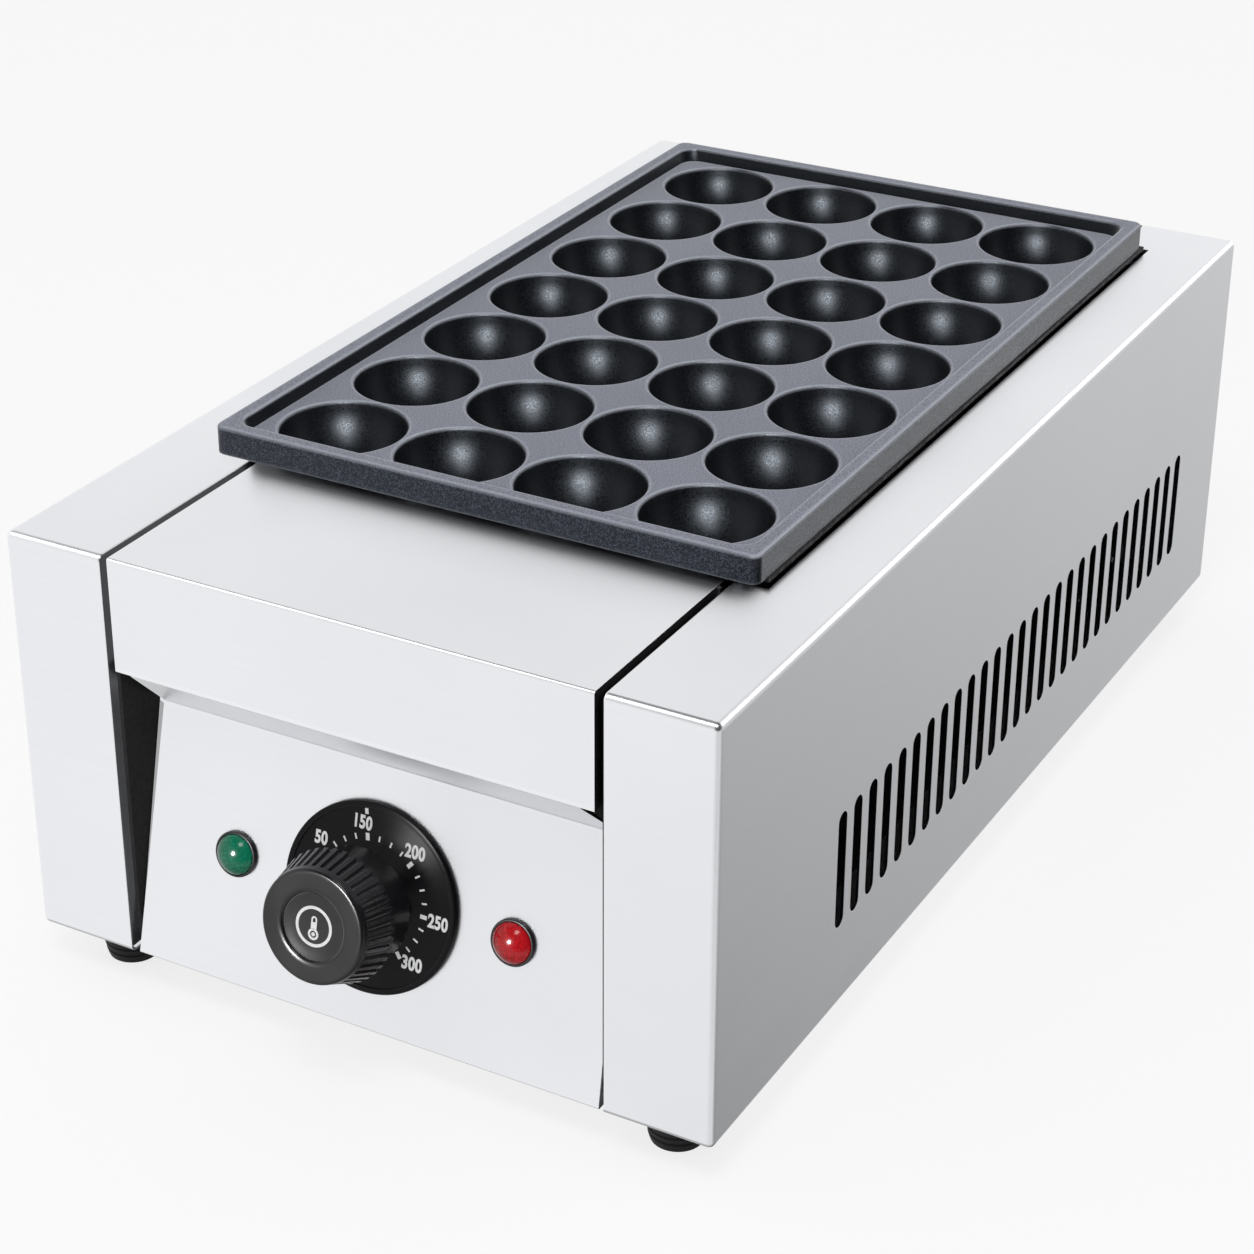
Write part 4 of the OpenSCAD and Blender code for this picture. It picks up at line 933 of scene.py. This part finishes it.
def mould_rim():
    """The cast plate's skirt and raised rim, a closed ring with draft inside."""
    bm = bmesh.new()
    rings = [
        (RIM_FOOT, RIM_FOOT_R, skirt_z),
        (0.4, 2.8, skirt_z),
        (0.0, 3.0, skirt_z + 0.35),
        (0.0, 3.0, rim_z - 0.9),
        (0.12, 3.0, rim_z - 0.4),
        (0.45, 3.0, rim_z - 0.08),
        (0.9, 3.0, rim_z),
        (RIM_W - 1.0, 5.2, rim_z),
        (RIM_W - 0.45, 5.6, rim_z - 0.15),
        (RIM_W - 0.1, 5.9, rim_z - 0.6),
        (RIM_W + 0.5, 6.0, floor_z + 0.6),
        (RIM_FOOT, RIM_FOOT_R, floor_z),
    ]
    loops = [rounded_ring(bm, *ring) for ring in rings]
    for a, b in zip(loops, loops[1:] + loops[:1]):
        bmesh.ops.bridge_loops(bm, edges=a + b)
    obj = piece(bm, "mould_plate_rim", FINISHES["non_stick_casting"], angle=40)
    return fit(obj, "mould_plate", "non_stick_casting", "mould_plate")


def mould_plate():
    """The cast plate inside its rim: a floor with 28 round cups."""
    bm = bmesh.new()
    loops = [rounded_ring(bm, RIM_FOOT, RIM_FOOT_R, z) for z in (skirt_z, floor_z)]
    bmesh.ops.bridge_loops(bm, edges=loops[0] + loops[1])
    # Cups: a small round over the edge, then the ball
    lip = 0.8
    ball_middle = (0, floor_z + cup_ball_up)
    start = math.degrees(math.asin((cup_ball_up + lip) / cup_ball_r))
    ball = arc(ball_middle, cup_ball_r, -start, -90, 14)
    over = []
    for a in (0, 22, 45, 68):
        sine, cosine = math.sin(math.radians(a)), math.cos(math.radians(a))
        over.append((CUP_R + lip * (1 - sine), floor_z - lip * (1 - cosine)))
    mouths = dimples(bm, over + ball[:-1] + [(0, ball[-1][1])], 56)
    bmesh.ops.triangle_fill(
        bm, use_beauty=True, use_dissolve=False, edges=loops[-1] + mouths, normal=(0, 0, 1)
    )
    # Undersides of the cups
    boss_r = cup_ball_r + CUP_WALL
    begin = math.degrees(math.asin((floor_z + cup_ball_up - skirt_z) / boss_r))
    under = arc(ball_middle, boss_r, -begin, -90, 7)
    boss_gap = 0.5
    mouth = min(under[0][0], CUP_PITCH / 2 - boss_gap)
    under[0] = (mouth, skirt_z)
    low_mouths = dimples(bm, under[:-1] + [(0, under[-1][1])], 40)
    bmesh.ops.triangle_fill(
        bm, use_beauty=True, use_dissolve=False, edges=loops[0] + low_mouths, normal=(0, 0, -1)
    )
    obj = piece(bm, "mould_plate_casting", FINISHES["non_stick_casting"], angle=40)
    return fit(obj, "mould_plate", "non_stick_casting", "mould_plate")


# ------------------------------------------------------------ knob and dial

DIAL_R = 28.8
BEZEL_W = 1.8
BEZEL_T = 1.9
DIAL_T = 1.3
KNOB_H = 31.0
KNOB_LOW = 3.2
HUB_R = 17.2
HUB_FLARE = 4.0
HUB_WAIST = 2.8
GRIP_LEN = 12.0
GRIP_R_LOW = 19.8
GRIP_R_HIGH = 16.9
FACE_CHAMFER = 1.2
CAP_R = 10.0
CAP_SINK = 0.7
CAP_DISH = 0.52  # how far the disc's middle lies below its edge
RIBS = 40
RIB_STEPS = 10
RIB_DEPTH = 1.15
SPINDLE_HOLE_R = 5.1
BORE_R = 3.2
SCALE_ZERO = -108.0  # degrees clockwise from the top
SCALE_STEP = 50.0
SCALE_MINORS = 4  # ticks to each number
PRINT_T = 0.06
NUMBER_H = 4.3


def dial():
    """Flat round plate behind the knob, held by a narrow round-topped ring."""
    bm = bmesh.new()
    face_r, low = DIAL_R - BEZEL_W, 0.02
    profile = [(SPINDLE_HOLE_R, low), (face_r, low), (face_r, DIAL_T - 0.1)]
    profile += [(face_r - 0.2, DIAL_T), (SPINDLE_HOLE_R, DIAL_T), (SPINDLE_HOLE_R, low)]
    spun(bm, profile, 96)
    obj = piece(bm, "dial_face", FINISHES["dial_black"], place=ON_PANEL)
    fit(obj, "chassis", "dial_black", "dial_plate")
    bm = bmesh.new()
    round_r = 0.6
    profile = [(face_r, low), (DIAL_R - 0.3, low), (DIAL_R, 0.3), (DIAL_R, BEZEL_T - 0.7)]
    profile += arc((DIAL_R - round_r, BEZEL_T - round_r), round_r, 0, 85, 5)
    profile += [(face_r + 0.5, BEZEL_T), (face_r + 0.15, BEZEL_T - 0.12)]
    profile += [(face_r, BEZEL_T - 0.4), (face_r, low)]
    spun(bm, profile, 96)
    obj = piece(bm, "dial_rim", FINISHES["dial_black"], place=ON_PANEL)
    fit(obj, "chassis", "dial_black", "dial_bezel")


def mark(bm, angle, r_in, r_out, width, z):
    """A raised printed bar that points at the dial's middle; angles clockwise from the top."""
    old = set(bm.verts)
    block(bm, (-width / 2, r_in, z), (width / 2, r_out, z + PRINT_T))
    verts = [v for v in bm.verts if v not in old]
    turned = Matrix.Rotation(math.radians(-angle), 3, "Z")
    bmesh.ops.rotate(bm, cent=(0, 0, 0), matrix=turned, verts=verts)


def lettering(bm, text, width, x, y, z):
    """A number of this width, as a mesh with a little thickness, middled on a point."""
    curve = bpy.data.curves.new("number", "FONT")
    curve.body = text
    curve.align_x = "CENTER"
    curve.align_y = "CENTER"
    curve.size = 1
    curve.offset = 0.038
    curve.extrude = 0.01
    curve.space_character = 1.05
    obj = link(curve, "number")
    graph = bpy.context.evaluated_depsgraph_get()
    mesh = bpy.data.meshes.new_from_object(obj.evaluated_get(graph))
    bpy.data.objects.remove(obj)
    low = Vector([min(v.co[k] for v in mesh.vertices) for k in range(3)])
    high = Vector([max(v.co[k] for v in mesh.vertices) for k in range(3)])
    size = Matrix.Diagonal((width / (high.x - low.x), NUMBER_H / (high.y - low.y), 3, 1))
    mesh.transform(Matrix.Translation((x, y, z)) @ size @ Matrix.Translation(-(low + high) / 2))
    bm.from_mesh(mesh)
    bpy.data.meshes.remove(mesh)


def dial_marks():
    """Ticks and plain numbers of the temperature scale."""
    long_tick = (17.1, 19.3, 1.25)  # inner radius, outer radius, width
    short_tick = (17.5, 19.2, 0.55)
    top_mark = (24.9, 26.6, 1.1)
    bm = bmesh.new()
    z = DIAL_T
    for i in range(5 * SCALE_MINORS + 1):
        angle = SCALE_ZERO + i * SCALE_STEP / SCALE_MINORS
        mark(bm, angle, *(short_tick if i % SCALE_MINORS else long_tick), z)
    mark(bm, -8, *top_mark, z)
    # Width of each number, and the place of its middle
    numbers = {
        "0": (2.2, -21.9, -6.6),
        "50": (4.3, -17.9, 13.6),
        "150": (5.8, -4.3, 22.0),
        "200": (6.7, 13.4, 17.7),
        "250": (6.6, 23.0, -1.0),
        "300": (6.7, 15.9, -15.6),
    }
    for text, (width, x, y) in numbers.items():
        lettering(bm, text, width, x, y, z + 0.03)
    obj = piece(bm, "dial_print", PRINT, place=ON_PANEL, weighted=False)
    fit(obj, "chassis", "dial_black")


def knob():
    """Ribbed grip on a smooth hub, with a broad face and a sunk disc."""
    grip_low = KNOB_H - GRIP_LEN
    grip_top = KNOB_H - FACE_CHAMFER
    rib_end = grip_top - 0.8

    def grip_r(z):
        share = (z - grip_low) / (grip_top - grip_low)
        return GRIP_R_LOW + (GRIP_R_HIGH - GRIP_R_LOW) * share

    waist_r = HUB_R - HUB_WAIST
    flare_z = KNOB_LOW + HUB_FLARE
    face_edge = GRIP_R_HIGH - FACE_CHAMFER
    profile = [(BORE_R, KNOB_LOW), (waist_r - 0.3, KNOB_LOW), (waist_r, KNOB_LOW + 0.3)]
    profile += [(HUB_R - 0.3, flare_z - 0.5), (HUB_R, flare_z + 0.4), (HUB_R, grip_low)]
    profile += [(GRIP_R_LOW - 0.45, grip_low), (GRIP_R_LOW - 0.12, grip_low + 0.12)]
    profile += [(GRIP_R_LOW, grip_low + 0.45)]
    heights = [grip_low + (rib_end - grip_low) * i / 5 for i in range(1, 5)]
    heights += [rib_end - 0.7, rib_end - 0.3, rib_end]
    profile += [(grip_r(z), z) for z in heights]
    turn_in = arc((face_edge, grip_top), FACE_CHAMFER, 8, 82, 7)
    profile += [(grip_r(grip_top - 0.2), grip_top - 0.2), *turn_in, (face_edge - 0.4, KNOB_H)]
    # The edge round the disc is softly rounded
    profile += [(CAP_R + 1.7, KNOB_H), (CAP_R + 1.1, KNOB_H - 0.06), (CAP_R + 0.5, KNOB_H - 0.24)]
    profile += [(CAP_R + 0.05, KNOB_H - 0.5), (CAP_R, KNOB_H - 0.7), (CAP_R, KNOB_H - 2.2)]
    profile += [(BORE_R, KNOB_H - 2.2), (BORE_R, KNOB_LOW)]
    bm = bmesh.new()
    verts = spun(bm, profile, RIBS * RIB_STEPS)
    for v in verts:
        r = v.co.xy.length
        if grip_low - 0.01 < v.co.z < rib_end - 0.1 and r > HUB_R + 0.1:
            turned = math.degrees(math.atan2(v.co.y, v.co.x)) / (360 / RIBS) % 1
            flank = min(1, max(0, (min(turned, 1 - turned) - 0.16) / 0.12))
            sunk = RIB_DEPTH * (1 - flank * flank * (3 - 2 * flank))
            if v.co.z > rib_end - 0.5:
                sunk *= 0.6
            v.co.x *= (r - sunk) / r
            v.co.y *= (r - sunk) / r
    obj = piece(bm, "knob_grip", FINISHES["knob_black"], place=ON_PANEL, angle=50)
    fit(obj, "control_knob", "knob_black", "knob")
    bm = bmesh.new()
    top = KNOB_H - CAP_SINK
    edge_r = CAP_R - 0.12
    spun(
        bm,
        [
            (0, top - 1.3),
            (edge_r, top - 1.3),
            (edge_r, top - 0.2),
            (edge_r - 0.15, top),
            (9.0, top - 0.08),
            (8.0, top - 0.26),
            (6.4, top - 0.42),
            (4.0, top - 0.50),
            (0, top - CAP_DISH),
        ],
        80,
    )
    obj = piece(bm, "knob_disc", FINISHES["knob_black"], place=ON_PANEL)
    fit(obj, "control_knob", "knob_black", "knob_cap")


def knob_marks():
    """A plain thermometer in a ring on the disc, and the index line that points at the scale."""
    bm = bmesh.new()
    z = KNOB_H - CAP_SINK - CAP_DISH
    h = 0.14

    def flat_ring(r_out, r_in, y, steps=48):
        place = Matrix.Translation((0, y, 0))
        spun(bm, [(r_in, z), (r_in, z + h), (r_out, z + h), (r_out, z), (r_in, z)], steps, place)

    flat_ring(6.0, 5.1, 0)
    bulb_y, stem_top, stem_r, line = -2.3, 3.1, 0.95, 0.5
    flat_ring(1.7, 1.7 - line * 1.3, bulb_y, 32)
    flat_ring(0.6, 0.0, bulb_y, 20)
    # Stem: an outline with a round top, filled below the open window
    inner_r = stem_r - line
    cap_y = stem_top - stem_r
    outer = arc((0, cap_y), stem_r, 180, 0, 10)
    outer = [(-stem_r, bulb_y + 1.3), *outer, (stem_r, bulb_y + 1.3)]
    inner = [(-inner_r, 1.3), *arc((0, cap_y), inner_r, 180, 0, 8), (inner_r, 1.3)]
    edges = []
    for outline in (outer, inner):
        edges += chain(bm, [(x, y, z + h) for x, y in outline], True)
    bmesh.ops.triangle_fill(bm, use_beauty=True, use_dissolve=False, edges=edges, normal=(0, 0, 1))
    obj = piece(bm, "knob_sign", PRINT, place=ON_PANEL, weighted=False)
    fit(obj, "control_knob", "knob_black")
    bm = bmesh.new()
    mark(bm, SCALE_ZERO, HUB_R + 0.5, GRIP_R_LOW - 0.6, 0.9, KNOB_H - GRIP_LEN - PRINT_T)
    obj = piece(bm, "knob_index", PRINT, place=ON_PANEL, weighted=False)
    fit(obj, "control_knob", "knob_black")


# ------------------------------------------------------------- pilot lamps

LENS_R = 6.25
LENS_H = 4.8
LAMP_RIM_R = 7.0
LAMP_RIM_H = 1.3


def lamp(colour, side):
    """A pilot lamp: a low black rim round a domed lens."""
    place = ON_PANEL @ Matrix.Translation((side * abs(lamp_x), 0, 0))
    bm = bmesh.new()
    body_r, body_len, seat = LENS_R - 1, 24, 0.6
    profile = [(0, -body_len), (body_r - 0.4, -body_len), (body_r, -body_len + 0.4), (body_r, -0.02)]
    profile += [(LAMP_RIM_R - 0.2, 0.0), (LAMP_RIM_R, 0.25)]
    profile += arc((LAMP_RIM_R - 0.45, LAMP_RIM_H - 0.45), 0.45, 0, 90, 5)
    profile += [(LENS_R + 0.12, LAMP_RIM_H), (LENS_R, LAMP_RIM_H - 0.15), (LENS_R, seat), (0, seat)]
    spun(bm, profile, 64)
    obj = piece(bm, f"{colour}_lamp_housing", FINISHES["black_plastic"], place=place)
    fit(obj, "chassis", "black_plastic", f"{colour}_lamp_body")
    bm = bmesh.new()
    dome_h = LENS_H - LAMP_RIM_H
    ball_r = (LENS_R**2 + dome_h**2) / (2 * dome_h)
    end = math.degrees(math.asin((LENS_R - 0.1) / ball_r))
    dome = arc((0, LENS_H - ball_r), ball_r, 90 - end, 90, 14)
    spun(bm, [(0, seat), (LENS_R - 0.1, seat)] + dome[:-1] + [(0, LENS_H)], 72)
    obj = piece(bm, f"{colour}_lamp_lens", FINISHES[f"{colour}_lens"], place=place, angle=60)
    fit(obj, "chassis", f"{colour}_lens", f"{colour}_lens")


# ------------------------------------------- feet, screws and cable gland


def feet():
    """Tapered rubber feet with three grooves, each round a sunk screw."""
    r_low, r_top = 8.0, 10.5
    screw_r, screw_z = 4.8, 5.6
    height = base_z
    for name in ("front_left_foot", "front_right_foot", "rear_left_foot", "rear_right_foot"):
        low, high = box_mm(name)
        middle = (low + high) / 2
        bm = bmesh.new()
        profile = [(screw_r, screw_z), (screw_r, 0.4), (screw_r + 0.4, 0)]
        profile += [(r_low - 0.9, 0), (r_low - 0.25, 0.25), (r_low, 0.9)]
        for z in (2.6, 5.0, 7.4):
            r = r_low + (r_top - r_low) * z / height
            profile += [(r, z), (r - 0.35, z + 0.35), (r - 0.35, z + 0.75), (r + 0.1, z + 1.1)]
        profile += [(r_top - 0.4, height - 2.2), (r_top, height - 1.8), (r_top, height)]
        profile += [(2.6, height), (2.6, screw_z), (screw_r, screw_z)]
        spun(bm, profile, 56, Matrix.Translation((middle.x, middle.y, 0)))
        obj = piece(bm, name + "_rubber", FINISHES["black_rubber"])
        fit(obj, "chassis", "black_rubber", name)


def screw_heads(name, node, places, length):
    """Domed heads with a cross recess, on short shanks."""
    head_r, head_h, shank_r = 3.6, 2.2, 1.95
    arm, arm_w, deep = 1.9, 0.42, 1.1
    bm = bmesh.new()
    radii = [0, 0.28, 0.5, 0.8, 1.2, 1.6, 1.95, 2.3, 2.9, 3.35, head_r]
    dome = [(r, head_h * math.sqrt(max(0, 1 - (r / (head_r * 1.08)) ** 2))) for r in radii]
    profile = dome + [(head_r, 0), (shank_r, 0), (shank_r, -length + 0.5)]
    profile += [(shank_r - 0.5, -length), (0, -length)]
    for place in places:
        verts = spun(bm, profile, 32)
        for v in verts:
            if v.co.z > 0.5:
                across = min(abs(v.co.x), abs(v.co.y))
                along = max(abs(v.co.x), abs(v.co.y))
                if across < arm_w and along < arm:
                    v.co.z -= deep * (1 - 0.55 * along / arm)
        bmesh.ops.transform(bm, matrix=place, verts=verts)
    obj = piece(bm, name, FINISHES["plated_steel"], angle=38)
    fit(obj, "chassis", "plated_steel", node)


def visible_screws():
    """Screws in the rear cover, and those under the case that hold the frame and the panel."""
    length, edge_in, end_in = 6, 30, 20
    frame_out = seam_x - 0.5
    screw_x = frame_out - 1.2 - 6
    frame_x = frame_out + 5
    corners = [(a, b) for a in (-1, 1) for b in (0, 1)]
    behind = Matrix.Rotation(math.radians(-90), 4, "X")
    below = Matrix.Rotation(math.radians(180), 4, "X")
    rows = (base_z + edge_in, top_z - edge_in)
    rear = [Matrix.Translation((a * screw_x, rear_y, rows[b])) @ behind for a, b in corners]
    screw_heads("rear_screw_heads", "rear_cover_screws", rear, length)
    rows = (plate_low.y + end_in, plate_high.y - end_in)
    frame_places = [Matrix.Translation((a * frame_x, rows[b], base_z)) @ below for a, b in corners]
    screw_heads("frame_screw_heads", "frame_screws", frame_places, length)
    head_r = 3.6
    reach = box_mm("panel_screws")[1]
    rows = (head_r - reach.y, reach.y - head_r)
    panel_places = [
        Matrix.Translation((a * (reach.x - head_r), rows[b], base_z)) @ below for a, b in corners
    ]
    screw_heads("panel_screw_heads", "panel_screws", panel_places, length)


def cable_gland():
    """The cable's way in: a threaded body with a hexagon, and a fluted cap on it."""
    low, high = box_mm("gland_body")
    middle = (low + high) / 2
    place = Matrix.Translation((middle.x, rear_y, middle.z))
    place @= Matrix.Rotation(math.radians(-90), 4, "X")
    bore, thread_r, hex_r, hex_h, cap_h = 4.2, 8.0, 11.0, 5.0, 12.0
    out = box_mm("gland_cap")[1].y - rear_y
    bm = bmesh.new()
    profile = [(bore, -9), (thread_r - 0.6, -9)]
    for i in range(6):
        profile += [(thread_r, -8.4 + 1.4 * i), (thread_r - 0.6, -7.7 + 1.4 * i)]
    profile += [(thread_r, 0), (thread_r, out - cap_h + 6), (bore, out - cap_h + 6), (bore, -9)]
    spun(bm, profile, 48)
    hexagon = bmesh.ops.create_cone(
        bm, cap_ends=True, segments=6, radius1=hex_r, radius2=hex_r, depth=hex_h
    )
    bmesh.ops.translate(bm, verts=hexagon["verts"], vec=(0, 0, hex_h / 2))
    bevel(bm, {e for v in hexagon["verts"] for e in v.link_edges}, 0.4, 2)
    caps = [f for f in bm.faces if len(f.verts) > 4 and abs(f.normal.z) > 0.9]
    bmesh.ops.delete(bm, geom=caps, context="FACES_ONLY")
    for z in (0, hex_h):
        at_z = [e for e in bm.edges if all(abs(v.co.z - z) < 0.01 for v in e.verts)]
        rim = [e for e in at_z if e.is_boundary]
        ring = [(x, y, z) for x, y in arc((0, 0), thread_r * 0.99, 0, 360, 48)[:-1]]
        edges = rim + chain(bm, ring, True)
        bmesh.ops.triangle_fill(bm, use_beauty=True, use_dissolve=False, edges=edges, normal=UP)
    obj = piece(bm, "gland_housing", FINISHES["black_plastic"], place=place)
    fit(obj, "chassis", "black_plastic", "gland_body")
    bm = bmesh.new()
    start = out - cap_h
    seat_r, cap_r, shoulder = thread_r + 0.05, hex_r - 0.5, start + 6.4
    profile = [(seat_r, start), (cap_r - 0.4, start), (cap_r, start + 0.4), (cap_r, shoulder)]
    profile += arc((cap_r - 2, shoulder), 2.0, 0, 50, 4)[1:]
    profile += [(bore + 3, out - 0.4), (bore + 2.4, out), (bore + 1.2, out)]
    profile += [(bore + 0.8, out - 0.5), (bore + 0.8, start + 6.1), (seat_r, start + 6.1)]
    profile += [(seat_r, start)]
    flutes, flute_steps = 12, 8
    verts = spun(bm, profile, flutes * flute_steps)
    for v in verts:
        r = v.co.xy.length
        if r > hex_r - 0.6 and start + 0.3 < v.co.z < start + 6.5:
            flute = 360 / flutes
            share = math.degrees(math.atan2(v.co.y, v.co.x)) % flute / flute
            sunk = 0.7 if abs(share - 0.5) < 0.2 else 0
            v.co.x *= (r - sunk) / r
            v.co.y *= (r - sunk) / r
    obj = piece(bm, "gland_nut", FINISHES["black_plastic"], place=place, angle=40)
    fit(obj, "chassis", "black_plastic", "gland_cap")


# ------------------------------------------------------------- stage


SOFT_LIGHT = 0.70  # the world's strength as a light
DARK_END = Vector((0.55, -0.60, 0.58)).normalized()  # the studio's darker end, above the front
FLOOR_WHITE = 0.78  # the floor's share of plain white; the rest keeps the shadow
LAMP_TARGET = Vector((0, 0, 0.1))
LAMP_DISTANCE = 1.5
CONTROLS = ("dial_face", "dial_rim", "knob_grip", "knob_disc", "green_lamp", "red_lamp")
SHEETS = ("left_casing_sheet", "right_casing_sheet", "centre_cover_sheet", "control_panel_sheet")
UNREFLECTED = ("mould_plate_rim", "knob_grip", "knob_disc", "left_casing_sheet")


def dress_cad_nodes():
    """Every carried-over node takes the finish of its slot."""
    for row in frame["record"]["subparts"]:
        obj = frame["nodes"][row["node"]]
        for held in obj.material_slots:
            held.material = FINISHES[row["material_slot"]]


def studio_world():
    """A white studio: plain soft light, darker low at the right, overhead and above the front."""
    world = bpy.data.worlds.new("studio")
    scene.world = world
    world.use_nodes = True
    tree = world.node_tree
    tree.nodes.clear()

    def add(kind, inputs=None, **settings):
        return add_node(tree, kind, inputs, **settings)

    def smooth(value, start, end, at_start, at_end):
        inputs = {"Value": value, "From Min": start, "From Max": end}
        inputs |= {"To Min": at_start, "To Max": at_end}
        return add("ShaderNodeMapRange", inputs, interpolation_type="SMOOTHSTEP").outputs["Result"]

    def maths(operation, a, b):
        return add("ShaderNodeMath", {0: a, 1: b}, operation=operation).outputs[0]

    direction = add("ShaderNodeTexCoord").outputs["Generated"]
    split = add("ShaderNodeSeparateXYZ", {0: direction})
    x, y, z = (split.outputs[axis] for axis in "XYZ")
    towards = add("ShaderNodeVectorMath", {0: direction, 1: DARK_END}, operation="DOT_PRODUCT")
    right = maths("MULTIPLY", smooth(x, -0.05, 0.30, 0.0, 1.0), smooth(y, -0.35, 0.25, 0.0, 1.0))
    right_level = smooth(z, -0.72, -0.25, 0.20, 0.66)
    sides = add("ShaderNodeMix", {0: right, 2: 1.0, 3: right_level}, data_type="FLOAT").outputs[0]
    overhead = smooth(z, 0.57, 0.86, 1.0, 0.05)
    below = smooth(z, -0.88, -0.60, 0.42, 1.0)
    front = smooth(towards.outputs["Value"], 0.36, 0.68, 1.0, 0.04)
    seen = maths("MULTIPLY", maths("MULTIPLY", sides, overhead), maths("MULTIPLY", front, below))
    rays = add("ShaderNodeLightPath")
    seen = maths("MAXIMUM", seen, rays.outputs["Is Camera Ray"])
    white = add("ShaderNodeBackground", {"Color": (1, 1, 1, 1), "Strength": seen})
    soft = add("ShaderNodeBackground", {"Color": (1, 1, 1, 1), "Strength": SOFT_LIGHT})
    shown = maths("MAXIMUM", rays.outputs["Is Camera Ray"], rays.outputs["Is Glossy Ray"])
    shown = maths("MAXIMUM", shown, rays.outputs["Is Transmission Ray"])
    choice = add("ShaderNodeMixShader", {0: shown, 1: soft.outputs[0], 2: white.outputs[0]})
    add("ShaderNodeOutputWorld", {0: choice.outputs[0]})


def pale_floor():
    """Plain floor that is white to the camera and keeps the object's shadow."""
    bm = bmesh.new()
    bmesh.ops.create_grid(bm, x_segments=1, y_segments=1, size=6)
    mesh = bpy.data.meshes.new("floor")
    bm.to_mesh(mesh)
    bm.free()
    floor = link(mesh, "floor")
    floor.visible_glossy = False
    material = bpy.data.materials.new("pale_floor")
    material.use_nodes = True
    tree = material.node_tree
    tree.nodes.clear()
    rays = add_node(tree, "ShaderNodeLightPath")
    white = {0: rays.outputs["Is Camera Ray"], 1: FLOOR_WHITE}
    share = add_node(tree, "ShaderNodeMath", white, operation="MULTIPLY")
    glow = add_node(tree, "ShaderNodeEmission")
    matt = add_node(tree, "ShaderNodeBsdfDiffuse", {"Color": (0.9, 0.9, 0.9, 1)})
    mixed = {0: share.outputs[0], 1: matt.outputs[0], 2: glow.outputs[0]}
    choice = add_node(tree, "ShaderNodeMixShader", mixed)
    add_node(tree, "ShaderNodeOutputMaterial", {0: choice.outputs[0]})
    mesh.materials.append(material)


def area_lamp(name, direction, size, power, only=()):
    """A round lamp aimed at the middle; with only, it shines on just the pieces named so."""
    lamp_data = bpy.data.lights.new(name, "AREA")
    lamp_data.shape = "DISK"
    lamp_data.size = size
    lamp_data.energy = power
    lamp_object = bpy.data.objects.new(name, lamp_data)
    scene.collection.objects.link(lamp_object)
    away = Vector(direction).normalized()
    lamp_object.location = LAMP_TARGET + away * LAMP_DISTANCE
    lamp_object.rotation_euler = away.to_track_quat("Z", "Y").to_euler()
    if only:
        lamp_object.visible_diffuse = False
        lit = bpy.data.collections.new(name + "_lights")
        for obj in scene.objects:
            if obj.type == "MESH" and obj.name.startswith(only):
                lit.objects.link(obj)
        lamp_object.light_linking.receiver_collection = lit


def photo_camera():
    """Camera at the photo's place, fitted to the case, the plate and the cups.

    The photo's own middle lies off the frame's, so the frame is shifted and a little rolled.
    """
    camera = bpy.data.cameras.new("camera")
    camera.sensor_width = 36
    focal_px = 3012.0
    frame_px = 1254.0
    camera.lens = focal_px / frame_px * camera.sensor_width
    camera.shift_x = 0.0598
    camera.shift_y = -0.0215
    camera.clip_start = 0.05
    camera.clip_end = 50
    obj = bpy.data.objects.new("camera", camera)
    scene.collection.objects.link(obj)
    azimuth, elevation, roll = (math.radians(a) for a in (30.31, 27.33, -0.49))
    obj.location = Vector((0.4106, -0.7872, 0.5232))
    level = math.cos(elevation)
    look = (-math.sin(azimuth) * level, math.cos(azimuth) * level, -math.sin(elevation))
    aim = Vector(look).to_track_quat("-Z", "Y")
    obj.rotation_euler = (aim @ Quaternion((0, 0, 1), roll)).to_euler()
    scene.camera = obj


def clear_reflections():
    """Parts that would darken the satin steel beside them stay out of its reflections."""
    for name in UNREFLECTED:
        bpy.data.objects[name].visible_glossy = False
    frame["nodes"]["left_frame_plate"].visible_glossy = False


def build():
    """The whole cooker, then its studio."""
    photo_camera()
    dress_cad_nodes()
    casing(1)
    casing(-1)
    centre_cover()
    rear_cover()
    control_panel()
    relief_hole_shade_discs()
    mould_rim()
    mould_plate()
    dial()
    dial_marks()
    knob()
    knob_marks()
    lamp("green", -1)
    lamp("red", 1)
    feet()
    visible_screws()
    cable_gland()
    clear_reflections()
    studio_world()
    pale_floor()
    area_lamp("key", (0.16, -0.52, 0.84), 0.5, 6)
    area_lamp("cup_light", (0.344, -0.725, 0.596), 0.70, 42, ("mould_plate",))
    area_lamp("front_fold_light", (-0.43, -0.47, 0.77), 0.8, 5, SHEETS)
    area_lamp("side_fold_light", (0.47, 0.77, 0.43), 0.8, 4, SHEETS)
    area_lamp("knob_light", (-0.153, -0.965, 0.210), 0.35, 40, CONTROLS)
    scene.view_settings.view_transform = "Standard"


build()
